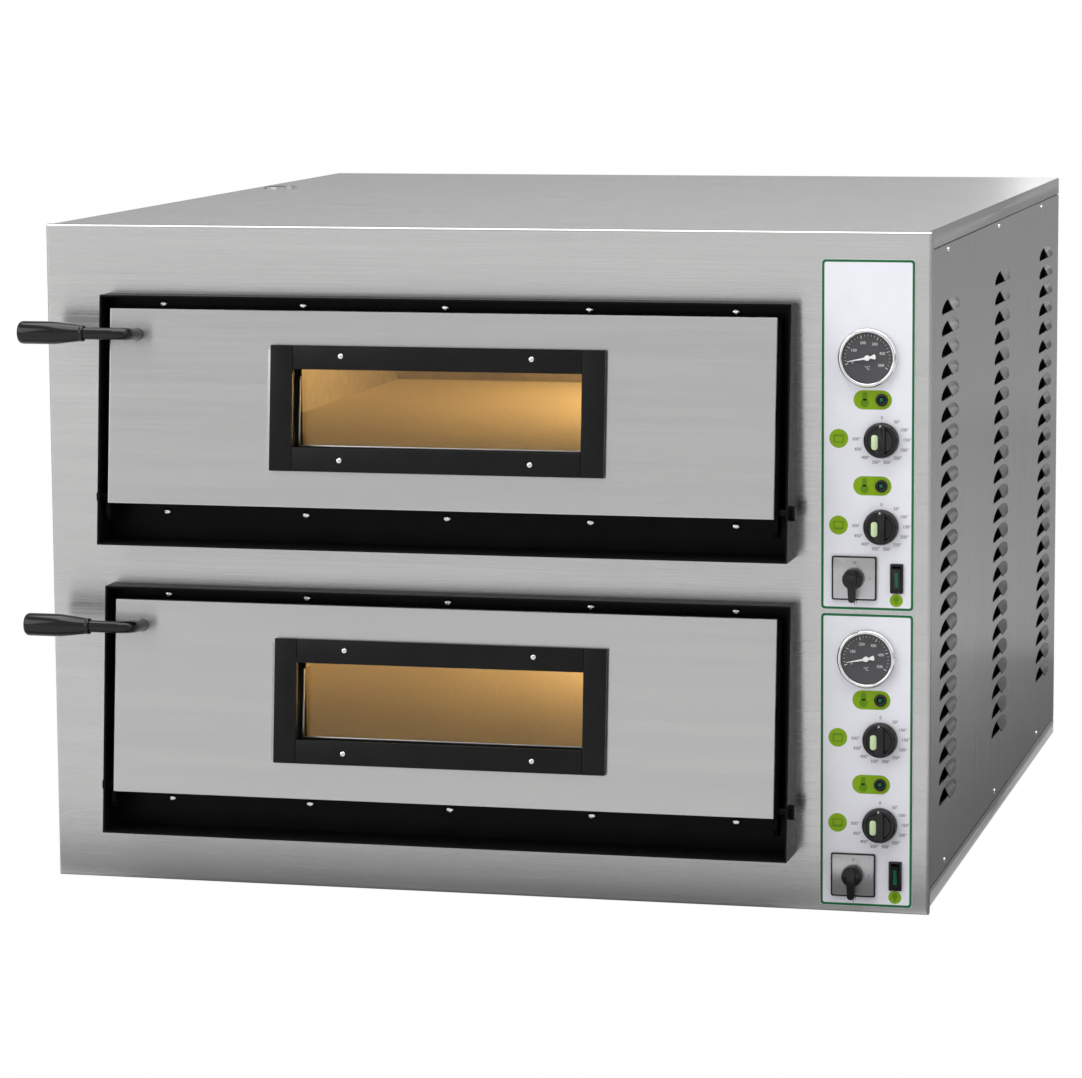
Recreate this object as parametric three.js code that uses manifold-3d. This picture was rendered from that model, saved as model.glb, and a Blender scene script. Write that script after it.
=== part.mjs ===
// Countertop double-deck electric pizza oven.
// Millimetres. +X is to the right as seen from the front, +Y goes back and +Z is up.
// The origin is the centre of the body's footprint, on the surface that the oven stands on.
import * as THREE from "three";
import { mergeVertices } from "three/addons/utils/BufferGeometryUtils.js";
import Module from "manifold-3d";

const wasm = await Module();
wasm.setup();

// ---------------------------------------------------------------- driving dimensions
const BODY = { width: 1010, depth: 1150, height: 750 };
const SHEET = 1.5;
const GAP = 0.3;
const THROUGH = 2; // how far a cutting tool runs past the face that it cuts

const FRONT = -BODY.depth / 2;
const BACK = BODY.depth / 2;
const ahead = (distance) => FRONT - distance; // Y of a point in front of the fascia

const FASCIA = { sheet: 2, lip: 12, bend: 3, seam: 1.3 };
const SIDE_X = 500; // outer face of the side panels, a little inside the fascia's edge
const FLANGE = { top: 21, base: 20, seam: 1.2 };
const INNER_FRONT = FRONT + FASCIA.sheet + 0.5;
const COVER_FRONT = FRONT + FASCIA.lip + FASCIA.seam;

// The two decks are alike. Everything of a deck is given for the upper one.
const DECK_PITCH = 330;

const CHAMBER = { x0: -398, x1: 322, z0: 439.5, z1: 626.5, y0: FRONT, y1: FRONT + 1080 };
const MOUTH = { z0: 468, z1: 618 };
const STONE = { z0: 456, z1: 472 };
const LEDGE = { width: 18, z0: 453, z1: 455.7 };

const SURROUND = { x0: -431.5, x1: 357, z0: 393.5, z1: 673, sheet: 2, topAhead: 30, baseAhead: 55 };
const DOOR_LEAN = THREE.MathUtils.degToRad(5.6);
const DOOR = { x0: -420.5, x1: 341.5, z0: 440, z1: 658.5, topAhead: 27, backAhead: 3, lip: 6, sheet: 2 };
const WINDOW = { x: -38.2, z: 550.5, width: 330, height: 86.6, bar: 25.7, rail: 26.7, proud: 8 };
const GLASS = { depth: 20, rebate: 6, thickness: 5 };
const HINGE = { ahead: 32, z: 445.5, pin: 5, head: 8.5, headThickness: 5 };
const ARM = { thickness: 5, endZ: 431, endRadius: 13 };
const HANDLE = { x: -388, z: 629.2, rod: 6.8, reach: 45, bend: 14, gripX0: -511.5, gripX1: -434.5 };

const PLATE = { x0: 384.9, x1: 487.2, z0: 337.4, topUpper: 720.3, topLower: 663.2, sheet: 1.2, corner: 4 };
const APERTURE_MARGIN = 8;
const THERMOMETER = { x: 435.8, z: 613.8, bezel: 32.8, body: 28 };
const KNOB = { x: 451.4, radius: 19.5, height: 16 };
const CONTROL_ROWS = [
  { name: "top", lampZ: 568, knobZ: 524.3 },
  { name: "bottom", lampZ: 474.1, knobZ: 429.3 },
];
const LAMP = { x: 451.4, radius: 6.5, stem: 4.7 };
const SWITCH = { x: 422, z: 372.5, width: 49, height: 49.4, hub: 12, lever: 24 };
const ROCKER = { x: 468.7, z: 373, width: 14.4, height: 32.6, rest: 8 };

const ELEMENT = { radius: 4, topZ: 613, baseZ: 447, runs: 6, pitch: 170, leftX: -375, rightX: 300 };
const TERMINAL_X = 386;
const BAY_WALL_X = 371.3;
const OVEN_LAMP = { y: 300, z: 566, flange: 28, dome: 22, socket: 18 };
const WOOL = { x0: -440, x1: 364, y0: -560, y1: 545, z0: 66, z1: 670 };
const DUCT = { x: -463, y: 186, outer: 22, inner: 20.5, z0: 240, rim: 2.5 };
const BRANCH = { z: 596, outer: 16, inner: 14.5 };
const GLAND = { x: 430, z: 70, flange: 17, hex: 15, bore: 7.5, length: 30 };

// A louvre's hole is half an ellipse. Its rear part is covered by a hood, whose front edge is at the
// column's Y and whose lower lip is at the louvre's Z.
const LOUVRE = { columns: [-416, 13, 431], count: 24, topLipZ: 654, pitch: 24 };
const HOLE = { centre: 21, halfLength: 67, height: 15.5, drop: 2, steps: 3, bunching: 1.6 };
const HOOD = { length: 82, proud: 6.2, sheet: 1.1, steps: 2, fade: 0.96 };

// ---------------------------------------------------------------- finishes
const finish = (color, roughness, metalness) =>
  new THREE.MeshStandardMaterial({ color, roughness, metalness, flatShading: true });
const FINISHES = {
  brushedSteel: finish(0xbcbab9, 0.35, 1),
  brightSteel: finish(0xd8d8da, 0.2, 1),
  aluminisedSteel: finish(0x8d8f92, 0.5, 1),
  blackEnamel: finish(0x141414, 0.45, 0),
  blackPlastic: finish(0x17171a, 0.35, 0),
  stone: finish(0xc9b594, 0.9, 0),
  wool: finish(0xd9cf9a, 1, 0),
  element: finish(0x4b4541, 0.55, 1),
  panelFilm: finish(0xe2e2ea, 0.4, 0),
  dial: finish(0x2b2c30, 0.5, 0),
  needle: finish(0xf2f2f2, 0.5, 0),
  warmGlass: finish(0xc69c5b, 0.08, 0),
  greenLens: finish(0x1f6b3a, 0.2, 0),
  lampGlass: finish(0xf3e6c4, 0.1, 0),
};

// ---------------------------------------------------------------- geometry helpers
const X_AXIS = new THREE.Vector3(1, 0, 0);
const Y_AXIS = new THREE.Vector3(0, 1, 0);
const Z_AXIS = new THREE.Vector3(0, 0, 1);

function box(x0, x1, y0, y1, z0, z1) {
  const geometry = new THREE.BoxGeometry(x1 - x0, y1 - y0, z1 - z0);
  return geometry.translate((x0 + x1) / 2, (y0 + y1) / 2, (z0 + z1) / 2);
}

function cylinderX(y, z, radius, x0, x1, sides) {
  const geometry = new THREE.CylinderGeometry(radius, radius, x1 - x0, sides);
  return geometry.rotateZ(Math.PI / 2).translate((x0 + x1) / 2, y, z);
}

function cylinderY(x, z, radius, y0, y1, sides) {
  const geometry = new THREE.CylinderGeometry(radius, radius, y1 - y0, sides);
  return geometry.translate(x, (y0 + y1) / 2, z);
}

function cylinderZ(x, y, radius, z0, z1, sides) {
  const geometry = new THREE.CylinderGeometry(radius, radius, z1 - z0, sides);
  return geometry.rotateX(Math.PI / 2).translate(x, y, (z0 + z1) / 2);
}

// An outline of [y, z] points, extruded from x0 to x1.
function prismX(outline, x0, x1) {
  const shape = new THREE.Shape(outline.map(([y, z]) => new THREE.Vector2(y, z)));
  const geometry = new THREE.ExtrudeGeometry(shape, { depth: x1 - x0, bevelEnabled: false });
  const turn = new THREE.Matrix4().makeBasis(Y_AXIS, Z_AXIS, X_AXIS);
  return geometry.applyMatrix4(turn).translate(x0, 0, 0);
}

// A shape drawn in X and Z, extruded from y1 towards the front, to y0.
function plateY(shape, y0, y1) {
  const geometry = new THREE.ExtrudeGeometry(shape, {
    depth: y1 - y0,
    bevelEnabled: false,
    curveSegments: 3,
  });
  return geometry.rotateX(Math.PI / 2).translate(0, y1, 0);
}

// A rectangle in X and Z whose front edges are bent to a radius; it reaches back to y1.
function bentPlate(x0, x1, z0, z1, y0, y1, bend) {
  const geometry = new THREE.ExtrudeGeometry(rectangle(x0, x1, z0, z1), {
    depth: y1 - y0 - bend,
    bevelThickness: bend,
    bevelSize: bend,
    bevelOffset: -bend,
    bevelSegments: 3,
  });
  const bent = geometry.rotateX(Math.PI / 2).translate(0, y1, 0);
  const rearBevel = box(x0 - THROUGH, x1 + THROUGH, y1, y1 + bend + THROUGH, z0 - THROUGH, z1 + THROUGH);
  return cut(solid(bent), solid(rearBevel));
}

function rectangle(x0, x1, z0, z1) {
  return polygon([
    [x0, z0],
    [x1, z0],
    [x1, z1],
    [x0, z1],
  ]);
}

function polygon(points) {
  return new THREE.Shape(points.map(([x, y]) => new THREE.Vector2(x, y)));
}

function roundedRectangle(x0, x1, z0, z1, radius) {
  const shape = new THREE.Shape();
  shape.absarc(x1 - radius, z0 + radius, radius, -Math.PI / 2, 0);
  shape.absarc(x1 - radius, z1 - radius, radius, 0, Math.PI / 2);
  shape.absarc(x0 + radius, z1 - radius, radius, Math.PI / 2, Math.PI);
  shape.absarc(x0 + radius, z0 + radius, radius, Math.PI, 1.5 * Math.PI);
  return shape;
}

// A turned piece on the Y axis, from [radius, distance towards the front] points.
function turnedY(profile, sides) {
  const points = profile.map(([radius, forward]) => new THREE.Vector2(radius, forward));
  return new THREE.LatheGeometry(points, sides).rotateX(Math.PI);
}

// A path with one extrusion step from each listed point to the next.
class StepPath extends THREE.Curve {
  constructor(points) {
    super();
    this.points = points;
  }

  getPoint(t) {
    const place = t * (this.points.length - 1);
    const index = Math.min(Math.floor(place + 1e-9), this.points.length - 2);
    return this.points[index].clone().lerp(this.points[index + 1], place - index);
  }

  getPointAt(u) {
    return this.getPoint(u);
  }

  getTangentAt(u) {
    const index = Math.round(u * (this.points.length - 1));
    const before = this.points[Math.max(index - 1, 0)];
    const after = this.points[Math.min(index + 1, this.points.length - 1)];
    return after.clone().sub(before).normalize();
  }
}

function rod(points, radius, sides) {
  const corners = arc(sides, 0, 2 * Math.PI, (angle) =>
    new THREE.Vector2(radius * Math.cos(angle), radius * Math.sin(angle)),
  ).slice(1);
  return new THREE.ExtrudeGeometry(new THREE.Shape(corners), {
    steps: points.length - 1,
    extrudePath: new StepPath(points),
  });
}

// A closed form through cross-sections that each have the same number of points.
function loft(sections) {
  const count = sections[0].length;
  const faces = [];
  const quad = (a, b, c, d) => faces.push(a, b, c, a, c, d);
  sections.slice(1).forEach((_, i) => {
    for (let k = 0; k < count; k += 1) {
      const next = (k + 1) % count;
      quad(i * count + k, i * count + next, (i + 1) * count + next, (i + 1) * count + k);
    }
  });
  const last = (sections.length - 1) * count;
  for (let k = 1; k < count - 1; k += 1) {
    faces.push(0, k + 1, k, last, last + k, last + k + 1);
  }
  const geometry = new THREE.BufferGeometry().setFromPoints(sections.flat());
  return geometry.setIndex(faces);
}

// Points along an arc from one angle to another, each placed by a function of its angle.
function arc(steps, from, to, place) {
  return Array.from({ length: steps + 1 }, (_, i) => place(from + ((to - from) * i) / steps));
}

// ---------------------------------------------------------------- solids and meshes
function solid(geometry) {
  const bare = geometry.clone();
  bare.deleteAttribute("normal");
  bare.deleteAttribute("uv");
  const merged = mergeVertices(bare, 1e-4);
  const triangles = [];
  for (let i = 0; i < merged.index.count; i += 3) {
    const [a, b, c] = [0, 1, 2].map((k) => merged.index.getX(i + k));
    if (a !== b && b !== c && a !== c) triangles.push([a, b, c]);
  }
  const made = (faces) =>
    new wasm.Manifold(
      new wasm.Mesh({
        numProp: 3,
        vertProperties: merged.attributes.position.array,
        triVerts: new Uint32Array(faces.flat()),
      }),
    );
  const outward = made(triangles);
  return outward.volume() > 0 ? outward : made(triangles.map(([a, b, c]) => [a, c, b]));
}

const joined = (first, ...others) => others.reduce((whole, other) => whole.add(other), first);
const cut = (first, ...tools) => tools.reduce((rest, tool) => rest.subtract(tool), first);

function piece(name, shape, material) {
  const { vertProperties, triVerts } = shape.getMesh();
  const geometry = new THREE.BufferGeometry();
  geometry.setAttribute("position", new THREE.BufferAttribute(vertProperties, 3));
  geometry.setIndex(new THREE.BufferAttribute(triVerts, 1));
  geometry.computeVertexNormals();
  const mesh = new THREE.Mesh(geometry, material);
  mesh.name = name;
  return mesh;
}

function group(...members) {
  const made = new THREE.Group();
  made.add(...members);
  return made;
}

// ---------------------------------------------------------------- casing
const deckOffsets = [0, -DECK_PITCH];
const plateTops = [PLATE.topUpper, PLATE.topLower];

function fascia() {
  const half = BODY.width / 2;
  const lipBack = FRONT + FASCIA.lip;
  const sheet = bentPlate(-half, half, 0, BODY.height, FRONT, lipBack, FASCIA.bend);
  const hollow = box(
    -half + FASCIA.sheet,
    half - FASCIA.sheet,
    FRONT + FASCIA.sheet,
    lipBack + THROUGH,
    FASCIA.sheet,
    BODY.height - FASCIA.sheet,
  );
  const y0 = FRONT - THROUGH;
  const y1 = FRONT + FASCIA.sheet + THROUGH;
  const clear = SHEET + GAP;
  const mouths = deckOffsets.map((offset) =>
    box(
      CHAMBER.x0 - clear,
      CHAMBER.x1 + clear,
      y0,
      y1,
      CHAMBER.z0 - clear + offset,
      CHAMBER.z1 + clear + offset,
    ),
  );
  const apertures = deckOffsets.map((offset, i) =>
    box(
      PLATE.x0 + APERTURE_MARGIN,
      PLATE.x1 - APERTURE_MARGIN,
      y0,
      y1,
      PLATE.z0 + APERTURE_MARGIN + offset,
      plateTops[i] - APERTURE_MARGIN + offset,
    ),
  );
  const shape = cut(sheet, ...[hollow, ...mouths, ...apertures].map(solid));
  return piece("fascia", shape, FINISHES.brushedSteel);
}

// An open tray that covers the body's plan, with flanges on its sides and back.
function tray(outer, hollow) {
  return cut(solid(box(...outer)), solid(box(...hollow)));
}

function topCover() {
  const z0 = BODY.height - FLANGE.top;
  const cover = tray(
    [-SIDE_X, SIDE_X, COVER_FRONT, BACK, z0, BODY.height],
    [-SIDE_X + SHEET, SIDE_X - SHEET, COVER_FRONT - THROUGH, BACK - SHEET, z0 - THROUGH, BODY.height - SHEET],
  );
  const outlet = cylinderZ(DUCT.x, DUCT.y, DUCT.outer + 1, z0, BODY.height + THROUGH, 20);
  return piece("top_cover", cut(cover, solid(outlet)), FINISHES.brushedSteel);
}

function basePan() {
  const pan = tray(
    [-SIDE_X, SIDE_X, COVER_FRONT, BACK, 0, FLANGE.base],
    [-SIDE_X + SHEET, SIDE_X - SHEET, COVER_FRONT - THROUGH, BACK - SHEET, SHEET, FLANGE.base + THROUGH],
  );
  return piece("base_pan", pan, FINISHES.brushedSteel);
}

const PANEL_Z0 = FLANGE.base + FLANGE.seam;
const PANEL_Z1 = BODY.height - FLANGE.top - FLANGE.seam;

function sidePanel(name, x0, x1, hoods, hollows) {
  const sheet = solid(box(x0, x1, INNER_FRONT, BACK, PANEL_Z0, PANEL_Z1));
  const shape = cut(joined(sheet, ...hoods.map(solid)), ...hollows.map(solid));
  return piece(name, shape, FINISHES.brushedSteel);
}

// Height of a louvre's outline over its base, at a distance behind the hood's front edge.
function holeTop(y) {
  const share = (y - HOLE.centre) / HOLE.halfLength;
  return HOLE.height * Math.sqrt(Math.max(0, 1 - share * share)) - HOLE.drop;
}

// The part of a louvre's hole that lies ahead of its hood, as an outline of [y, z] points.
function openPart(y, lipZ) {
  const front = HOLE.centre - HOLE.halfLength;
  const distances = arc(HOLE.steps, 0, 1, (t) => front * (1 - t) ** HOLE.bunching);
  const top = distances.map((d) => [y + d, lipZ + holeTop(d)]);
  return [...top, [y + 1, lipZ - HOLE.drop]];
}

// A hood swells out of the sheet behind its open front and dies away to the rear. The form
// is drawn in by `wall` where it is the hollow, which also runs through the sheet and below the lip.
function hoodForm(y, lipZ, wall) {
  const inner = wall > 0;
  const x0 = inner ? SIDE_X - SHEET - THROUGH : SIDE_X - SHEET / 2;
  const base = inner ? lipZ - HOLE.drop : lipZ;
  const sections = arc(HOOD.steps, 0, 1, (t) => {
    const back = t * (HOOD.length - wall * 2);
    const proud = HOOD.proud * Math.sqrt(1 - (HOOD.fade * t) ** 2) - wall;
    const top = lipZ + holeTop(back) - wall;
    const place = y + back - (inner && t === 0 ? 1 : 0);
    return [
      new THREE.Vector3(x0, place, base),
      new THREE.Vector3(SIDE_X + proud, place, base),
      new THREE.Vector3(x0, place, top),
    ];
  });
  return loft(sections);
}

function sidePanels() {
  const places = LOUVRE.columns.flatMap((y) =>
    Array.from({ length: LOUVRE.count }, (_, i) => [y, LOUVRE.topLipZ - i * LOUVRE.pitch]),
  );
  const hoods = places.map(([y, z]) => hoodForm(y, z, 0));
  const hollows = places.flatMap(([y, z]) => [
    hoodForm(y, z, HOOD.sheet),
    prismX(openPart(y, z), SIDE_X - SHEET - THROUGH, SIDE_X + THROUGH),
  ]);
  return [
    sidePanel("side_panel_right", SIDE_X - SHEET, SIDE_X, hoods, hollows),
    sidePanel("side_panel_left", -SIDE_X, -SIDE_X + SHEET, [], []),
  ];
}

function backPanel() {
  const x = SIDE_X - SHEET - GAP;
  const sheet = box(-x, x, BACK - SHEET, BACK, PANEL_Z0, PANEL_Z1);
  const hole = cylinderY(GLAND.x, GLAND.z, GLAND.hex - 2, BACK - 2 * SHEET, BACK + THROUGH, 12);
  return piece("back_panel", cut(solid(sheet), solid(hole)), FINISHES.aluminisedSteel);
}

// The two ends of a heating element, and its height, for each element of each deck.
const elementEnds = [-1, 1].map((side) => (side * ELEMENT.pitch * (ELEMENT.runs - 1)) / 2 - 10);
const elementHeights = deckOffsets.flatMap((offset) => [ELEMENT.topZ + offset, ELEMENT.baseZ + offset]);

// Clearance holes through the walls on the right of the chambers, from x0 to x1.
function wallHoles(x0, x1) {
  const terminals = elementHeights.flatMap((z) =>
    elementEnds.map((y) => cylinderX(y, z, ELEMENT.radius + 1.5, x0, x1, 6)),
  );
  const sockets = deckOffsets.map((offset) =>
    cylinderX(OVEN_LAMP.y, OVEN_LAMP.z + offset, OVEN_LAMP.socket + 1, x0, x1, 12),
  );
  return [...terminals, ...sockets].map(solid);
}

function controlBayWall() {
  const x1 = BAY_WALL_X + SHEET;
  const wall = solid(box(BAY_WALL_X, x1, INNER_FRONT, BACK - SHEET - GAP, PANEL_Z0, PANEL_Z1));
  const shape = cut(wall, ...wallHoles(BAY_WALL_X - THROUGH, x1 + THROUGH));
  return piece("control_bay_wall", shape, FINISHES.aluminisedSteel);
}

function insulation() {
  const wool = solid(box(WOOL.x0, WOOL.x1, WOOL.y0, WOOL.y1, WOOL.z0, WOOL.z1));
  const clear = SHEET + GAP;
  const pockets = deckOffsets.map((offset) =>
    box(
      CHAMBER.x0 - clear,
      CHAMBER.x1 + clear,
      WOOL.y0 - THROUGH,
      CHAMBER.y1 + clear,
      CHAMBER.z0 - clear + offset,
      CHAMBER.z1 + clear + offset,
    ),
  );
  const branches = deckOffsets.map((offset) =>
    cylinderX(DUCT.y, BRANCH.z + offset, BRANCH.outer + 1, WOOL.x0 - THROUGH, CHAMBER.x0, 12),
  );
  const tools = [...pockets, ...branches].map(solid);
  const shape = cut(wool, ...tools, ...wallHoles(CHAMBER.x1, WOOL.x1 + THROUGH));
  return piece("insulation_wool", shape, FINISHES.wool);
}

// The flue: one upright pipe beside the chambers, with a branch out of each.
function ventDuct() {
  const branchX1 = CHAMBER.x0 - GAP;
  const top = BODY.height + DUCT.rim;
  const upright = (radius, z0, z1) => solid(cylinderZ(DUCT.x, DUCT.y, radius, z0, z1, 20));
  const branches = (radius, x1) =>
    deckOffsets.map((offset) =>
      solid(cylinderX(DUCT.y, BRANCH.z + offset, radius, DUCT.x, x1, 12)),
    );
  const outside = joined(upright(DUCT.outer, DUCT.z0, top), ...branches(BRANCH.outer, branchX1));
  const bore = upright(DUCT.inner, DUCT.z0 + SHEET, top + THROUGH);
  const shape = cut(outside, bore, ...branches(BRANCH.inner, branchX1 + THROUGH));
  return piece("vent_duct", shape, FINISHES.aluminisedSteel);
}

function cableGland() {
  const profile = [
    [GLAND.bore, -12],
    [GLAND.hex - 3, -12],
    [GLAND.hex - 3, 0],
    [GLAND.flange, 0],
    [GLAND.flange, 4],
    [GLAND.hex, 4],
    [GLAND.hex, 16],
    [GLAND.hex - 2, 18],
    [GLAND.bore + 2, GLAND.length],
    [GLAND.bore, GLAND.length],
    [GLAND.bore, -12],
  ];
  const mesh = piece("cable_gland", solid(turnedY(profile, 12)), FINISHES.blackPlastic);
  mesh.rotation.x = Math.PI;
  mesh.position.set(GLAND.x, BACK + GAP, GLAND.z);
  return mesh;
}

// ---------------------------------------------------------------- baking chamber
function chamber(deck) {
  const outer = box(
    CHAMBER.x0 - SHEET,
    CHAMBER.x1 + SHEET,
    CHAMBER.y0,
    CHAMBER.y1 + SHEET,
    CHAMBER.z0 - SHEET,
    CHAMBER.z1 + SHEET,
  );
  const hollow = box(
    CHAMBER.x0,
    CHAMBER.x1,
    CHAMBER.y0 - THROUGH,
    CHAMBER.y1,
    CHAMBER.z0,
    CHAMBER.z1,
  );
  const ledges = [
    [CHAMBER.x0 - SHEET / 2, CHAMBER.x0 + LEDGE.width],
    [CHAMBER.x1 - LEDGE.width, CHAMBER.x1 + SHEET / 2],
  ].map(([x0, x1]) => solid(box(x0, x1, CHAMBER.y0 + 10, CHAMBER.y1, LEDGE.z0, LEDGE.z1)));
  const flue = cylinderX(
    DUCT.y,
    BRANCH.z,
    BRANCH.outer + 1,
    CHAMBER.x0 - 2 * SHEET,
    CHAMBER.x0 + SHEET,
    12,
  );
  const x0 = CHAMBER.x1 - THROUGH;
  const x1 = CHAMBER.x1 + SHEET + THROUGH;
  const terminals = [ELEMENT.topZ, ELEMENT.baseZ].flatMap((z) =>
    elementEnds.map((y) => cylinderX(y, z, ELEMENT.radius + 1, x0, x1, 6)),
  );
  const socket = cylinderX(OVEN_LAMP.y, OVEN_LAMP.z, OVEN_LAMP.socket + 1, x0, x1, 12);
  const shell = cut(solid(outer), solid(hollow));
  const shape = cut(joined(shell, ...ledges), ...[flue, ...terminals, socket].map(solid));
  return piece(`chamber_${deck}`, shape, FINISHES.aluminisedSteel);
}

function stoneFloor(deck) {
  const slab = box(
    CHAMBER.x0 + 1,
    CHAMBER.x1 - 1,
    CHAMBER.y0 + 1,
    CHAMBER.y1 - 4,
    STONE.z0,
    STONE.z1,
  );
  return piece(`stone_floor_${deck}`, solid(slab), FINISHES.stone);
}

// A tubular element: straight runs across the chamber, joined by half-round turns.
function elementPath(z) {
  const radius = ELEMENT.pitch / 2;
  const points = [new THREE.Vector3(TERMINAL_X, elementEnds[0], z)];
  for (let run = 0; run < ELEMENT.runs - 1; run += 1) {
    const side = run % 2 === 0 ? -1 : 1;
    const x = side < 0 ? ELEMENT.leftX + radius : ELEMENT.rightX - radius;
    const y = elementEnds[0] + (run + 0.5) * ELEMENT.pitch;
    const turn = (angle) =>
      new THREE.Vector3(x + side * radius * Math.cos(angle), y + radius * Math.sin(angle), z);
    points.push(...arc(5, -Math.PI / 2, Math.PI / 2, turn));
  }
  points.push(new THREE.Vector3(TERMINAL_X, elementEnds[1], z));
  return points;
}

function heatingElement(name, z) {
  return piece(name, solid(rod(elementPath(z), ELEMENT.radius, 6)), FINISHES.element);
}

function ovenLamp(deck) {
  const { flange, dome, socket } = OVEN_LAMP;
  const profile = [
    [0, -62],
    [socket, -62],
    [socket, 0.5],
    [flange, 0.5],
    [flange, 4],
    [dome, 5],
    [dome * 0.87, 5 + dome * 0.4],
    [dome * 0.5, 5 + dome * 0.7],
    [0, 5 + dome * 0.8],
  ];
  const mesh = piece(`oven_lamp_${deck}`, solid(turnedY(profile, 16)), FINISHES.lampGlass);
  mesh.rotation.z = -Math.PI / 2;
  mesh.position.set(CHAMBER.x1, OVEN_LAMP.y, OVEN_LAMP.z);
  return mesh;
}

// ---------------------------------------------------------------- door
// Distance of the door's front face ahead of the fascia, at a height.
const faceAhead = (z) => DOOR.topAhead + (DOOR.z1 - z) * Math.tan(DOOR_LEAN);

// The door's leaning face: x across, y into the door, z up the face, from the window's centre.
const faceFrame = new THREE.Matrix4()
  .makeRotationX(-DOOR_LEAN)
  .setPosition(0, ahead(faceAhead(WINDOW.z)), WINDOW.z);

const onFace = (depth, up) => {
  const point = new THREE.Vector3(0, depth, up).applyMatrix4(faceFrame);
  return [point.y, point.z];
};

const upFace = (z) => (z - WINDOW.z) / Math.cos(DOOR_LEAN);
const FACE_TOP = upFace(DOOR.z1);
const FACE_BASE = upFace(DOOR.z0);
const SKIN_CLEAR = SHEET + GAP;

// A box in the face's own frame that is centred on the window.
function windowBox(halfWidth, halfHeight, y0, y1) {
  return box(WINDOW.x - halfWidth, WINDOW.x + halfWidth, y0, y1, -halfHeight, halfHeight);
}

function surround(deck) {
  const { x0, x1, z0, z1, sheet, topAhead, baseAhead } = SURROUND;
  const outer = prismX(
    [
      [ahead(GAP), z0],
      [ahead(GAP), z1],
      [ahead(topAhead), z1],
      [ahead(baseAhead), z0],
    ],
    x0,
    x1,
  );
  const hollow = box(x0 + sheet, x1 - sheet, ahead(100), ahead(GAP + sheet), z0 + sheet, z1 - sheet);
  const mouth = box(CHAMBER.x0, CHAMBER.x1, ahead(20), FRONT + THROUGH, MOUTH.z0, MOUTH.z1);
  const pinHole = cylinderX(
    ahead(HINGE.ahead),
    HINGE.z,
    HINGE.pin + GAP,
    x0 - THROUGH,
    x1 + THROUGH,
    12,
  );
  const shape = cut(solid(outer), ...[hollow, mouth, pinHole].map(solid));
  return piece(`surround_${deck}`, shape, FINISHES.blackEnamel);
}

// The door's upright back, from its chamfered lower edge to its top.
const doorRear = [
  [ahead(DOOR.backAhead), DOOR.z0 + 18],
  [ahead(DOOR.backAhead), DOOR.z1 - 3],
];

// One end plate of the door, which reaches down round the hinge pin as an arm.
function doorArm(x0, x1) {
  const end = arc(6, Math.PI * 0.15, -Math.PI * 1.2, (angle) => [
    ahead(HINGE.ahead + ARM.endRadius * Math.cos(angle)),
    ARM.endZ + ARM.endRadius * Math.sin(angle),
  ]);
  const behindLip = DOOR.lip + 0.5;
  const outline = [
    onFace(behindLip, FACE_TOP - SKIN_CLEAR),
    onFace(behindLip, FACE_BASE),
    ...end,
    ...doorRear,
  ];
  return solid(prismX(outline, x0, x1));
}

// The side of the door box between its skin and its back, drawn in by `wall` all round.
function doorSide(wall) {
  const top = FACE_TOP - SKIN_CLEAR - wall;
  const frontBase = onFace(SKIN_CLEAR + wall, FACE_BASE + SKIN_CLEAR + wall);
  return [
    onFace(DOOR.lip + 1, top),
    onFace(SKIN_CLEAR + wall, top),
    frontBase,
    [ahead(14 + wall / 2), frontBase[1]],
    ...doorRear.map(([y, z], i) => [y - wall, i === 0 ? z : z - wall]),
  ];
}

function doorBox(deck) {
  const x0 = DOOR.x0 + SKIN_CLEAR;
  const x1 = DOOR.x1 - SKIN_CLEAR;
  const wall = DOOR.sheet;
  const wedge = solid(prismX(doorSide(0), x0, x1));
  const arms = [doorArm(x0 - ARM.thickness, x0), doorArm(x1, x1 + ARM.thickness)];
  const halfWidth = WINDOW.width / 2;
  const halfHeight = WINDOW.height / 2;
  const rebate = GLASS.rebate + GAP;
  const grooveBack = GLASS.depth + GLASS.thickness + GAP;
  const onDoor = (geometry) => solid(geometry.applyMatrix4(faceFrame));
  const groove = onDoor(
    windowBox(halfWidth + rebate, halfHeight + rebate, GLASS.depth - GAP, grooveBack),
  );
  const opening = onDoor(windowBox(halfWidth, halfHeight, 0, 60));
  const liner = rebate + wall;
  const tunnel = onDoor(windowBox(halfWidth + liner, halfHeight + liner, -THROUGH, 60));
  const hollow = cut(solid(prismX(doorSide(wall), x0 + wall, x1 - wall)), tunnel);
  const drain = solid(cylinderZ(WINDOW.x, ahead(30), 4, DOOR.z0 - THROUGH, DOOR.z0 + 8, 8));
  const pinHoles = [
    [x0 - ARM.thickness - THROUGH, x0 - GAP],
    [x1 + GAP, x1 + ARM.thickness + THROUGH],
  ].map(([a, b]) => solid(cylinderX(ahead(HINGE.ahead), HINGE.z, HINGE.pin + GAP, a, b, 12)));
  const shape = cut(joined(wedge, ...arms), hollow, drain, groove, opening, ...pinHoles);
  return piece(`door_box_${deck}`, shape, FINISHES.blackEnamel);
}

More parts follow.
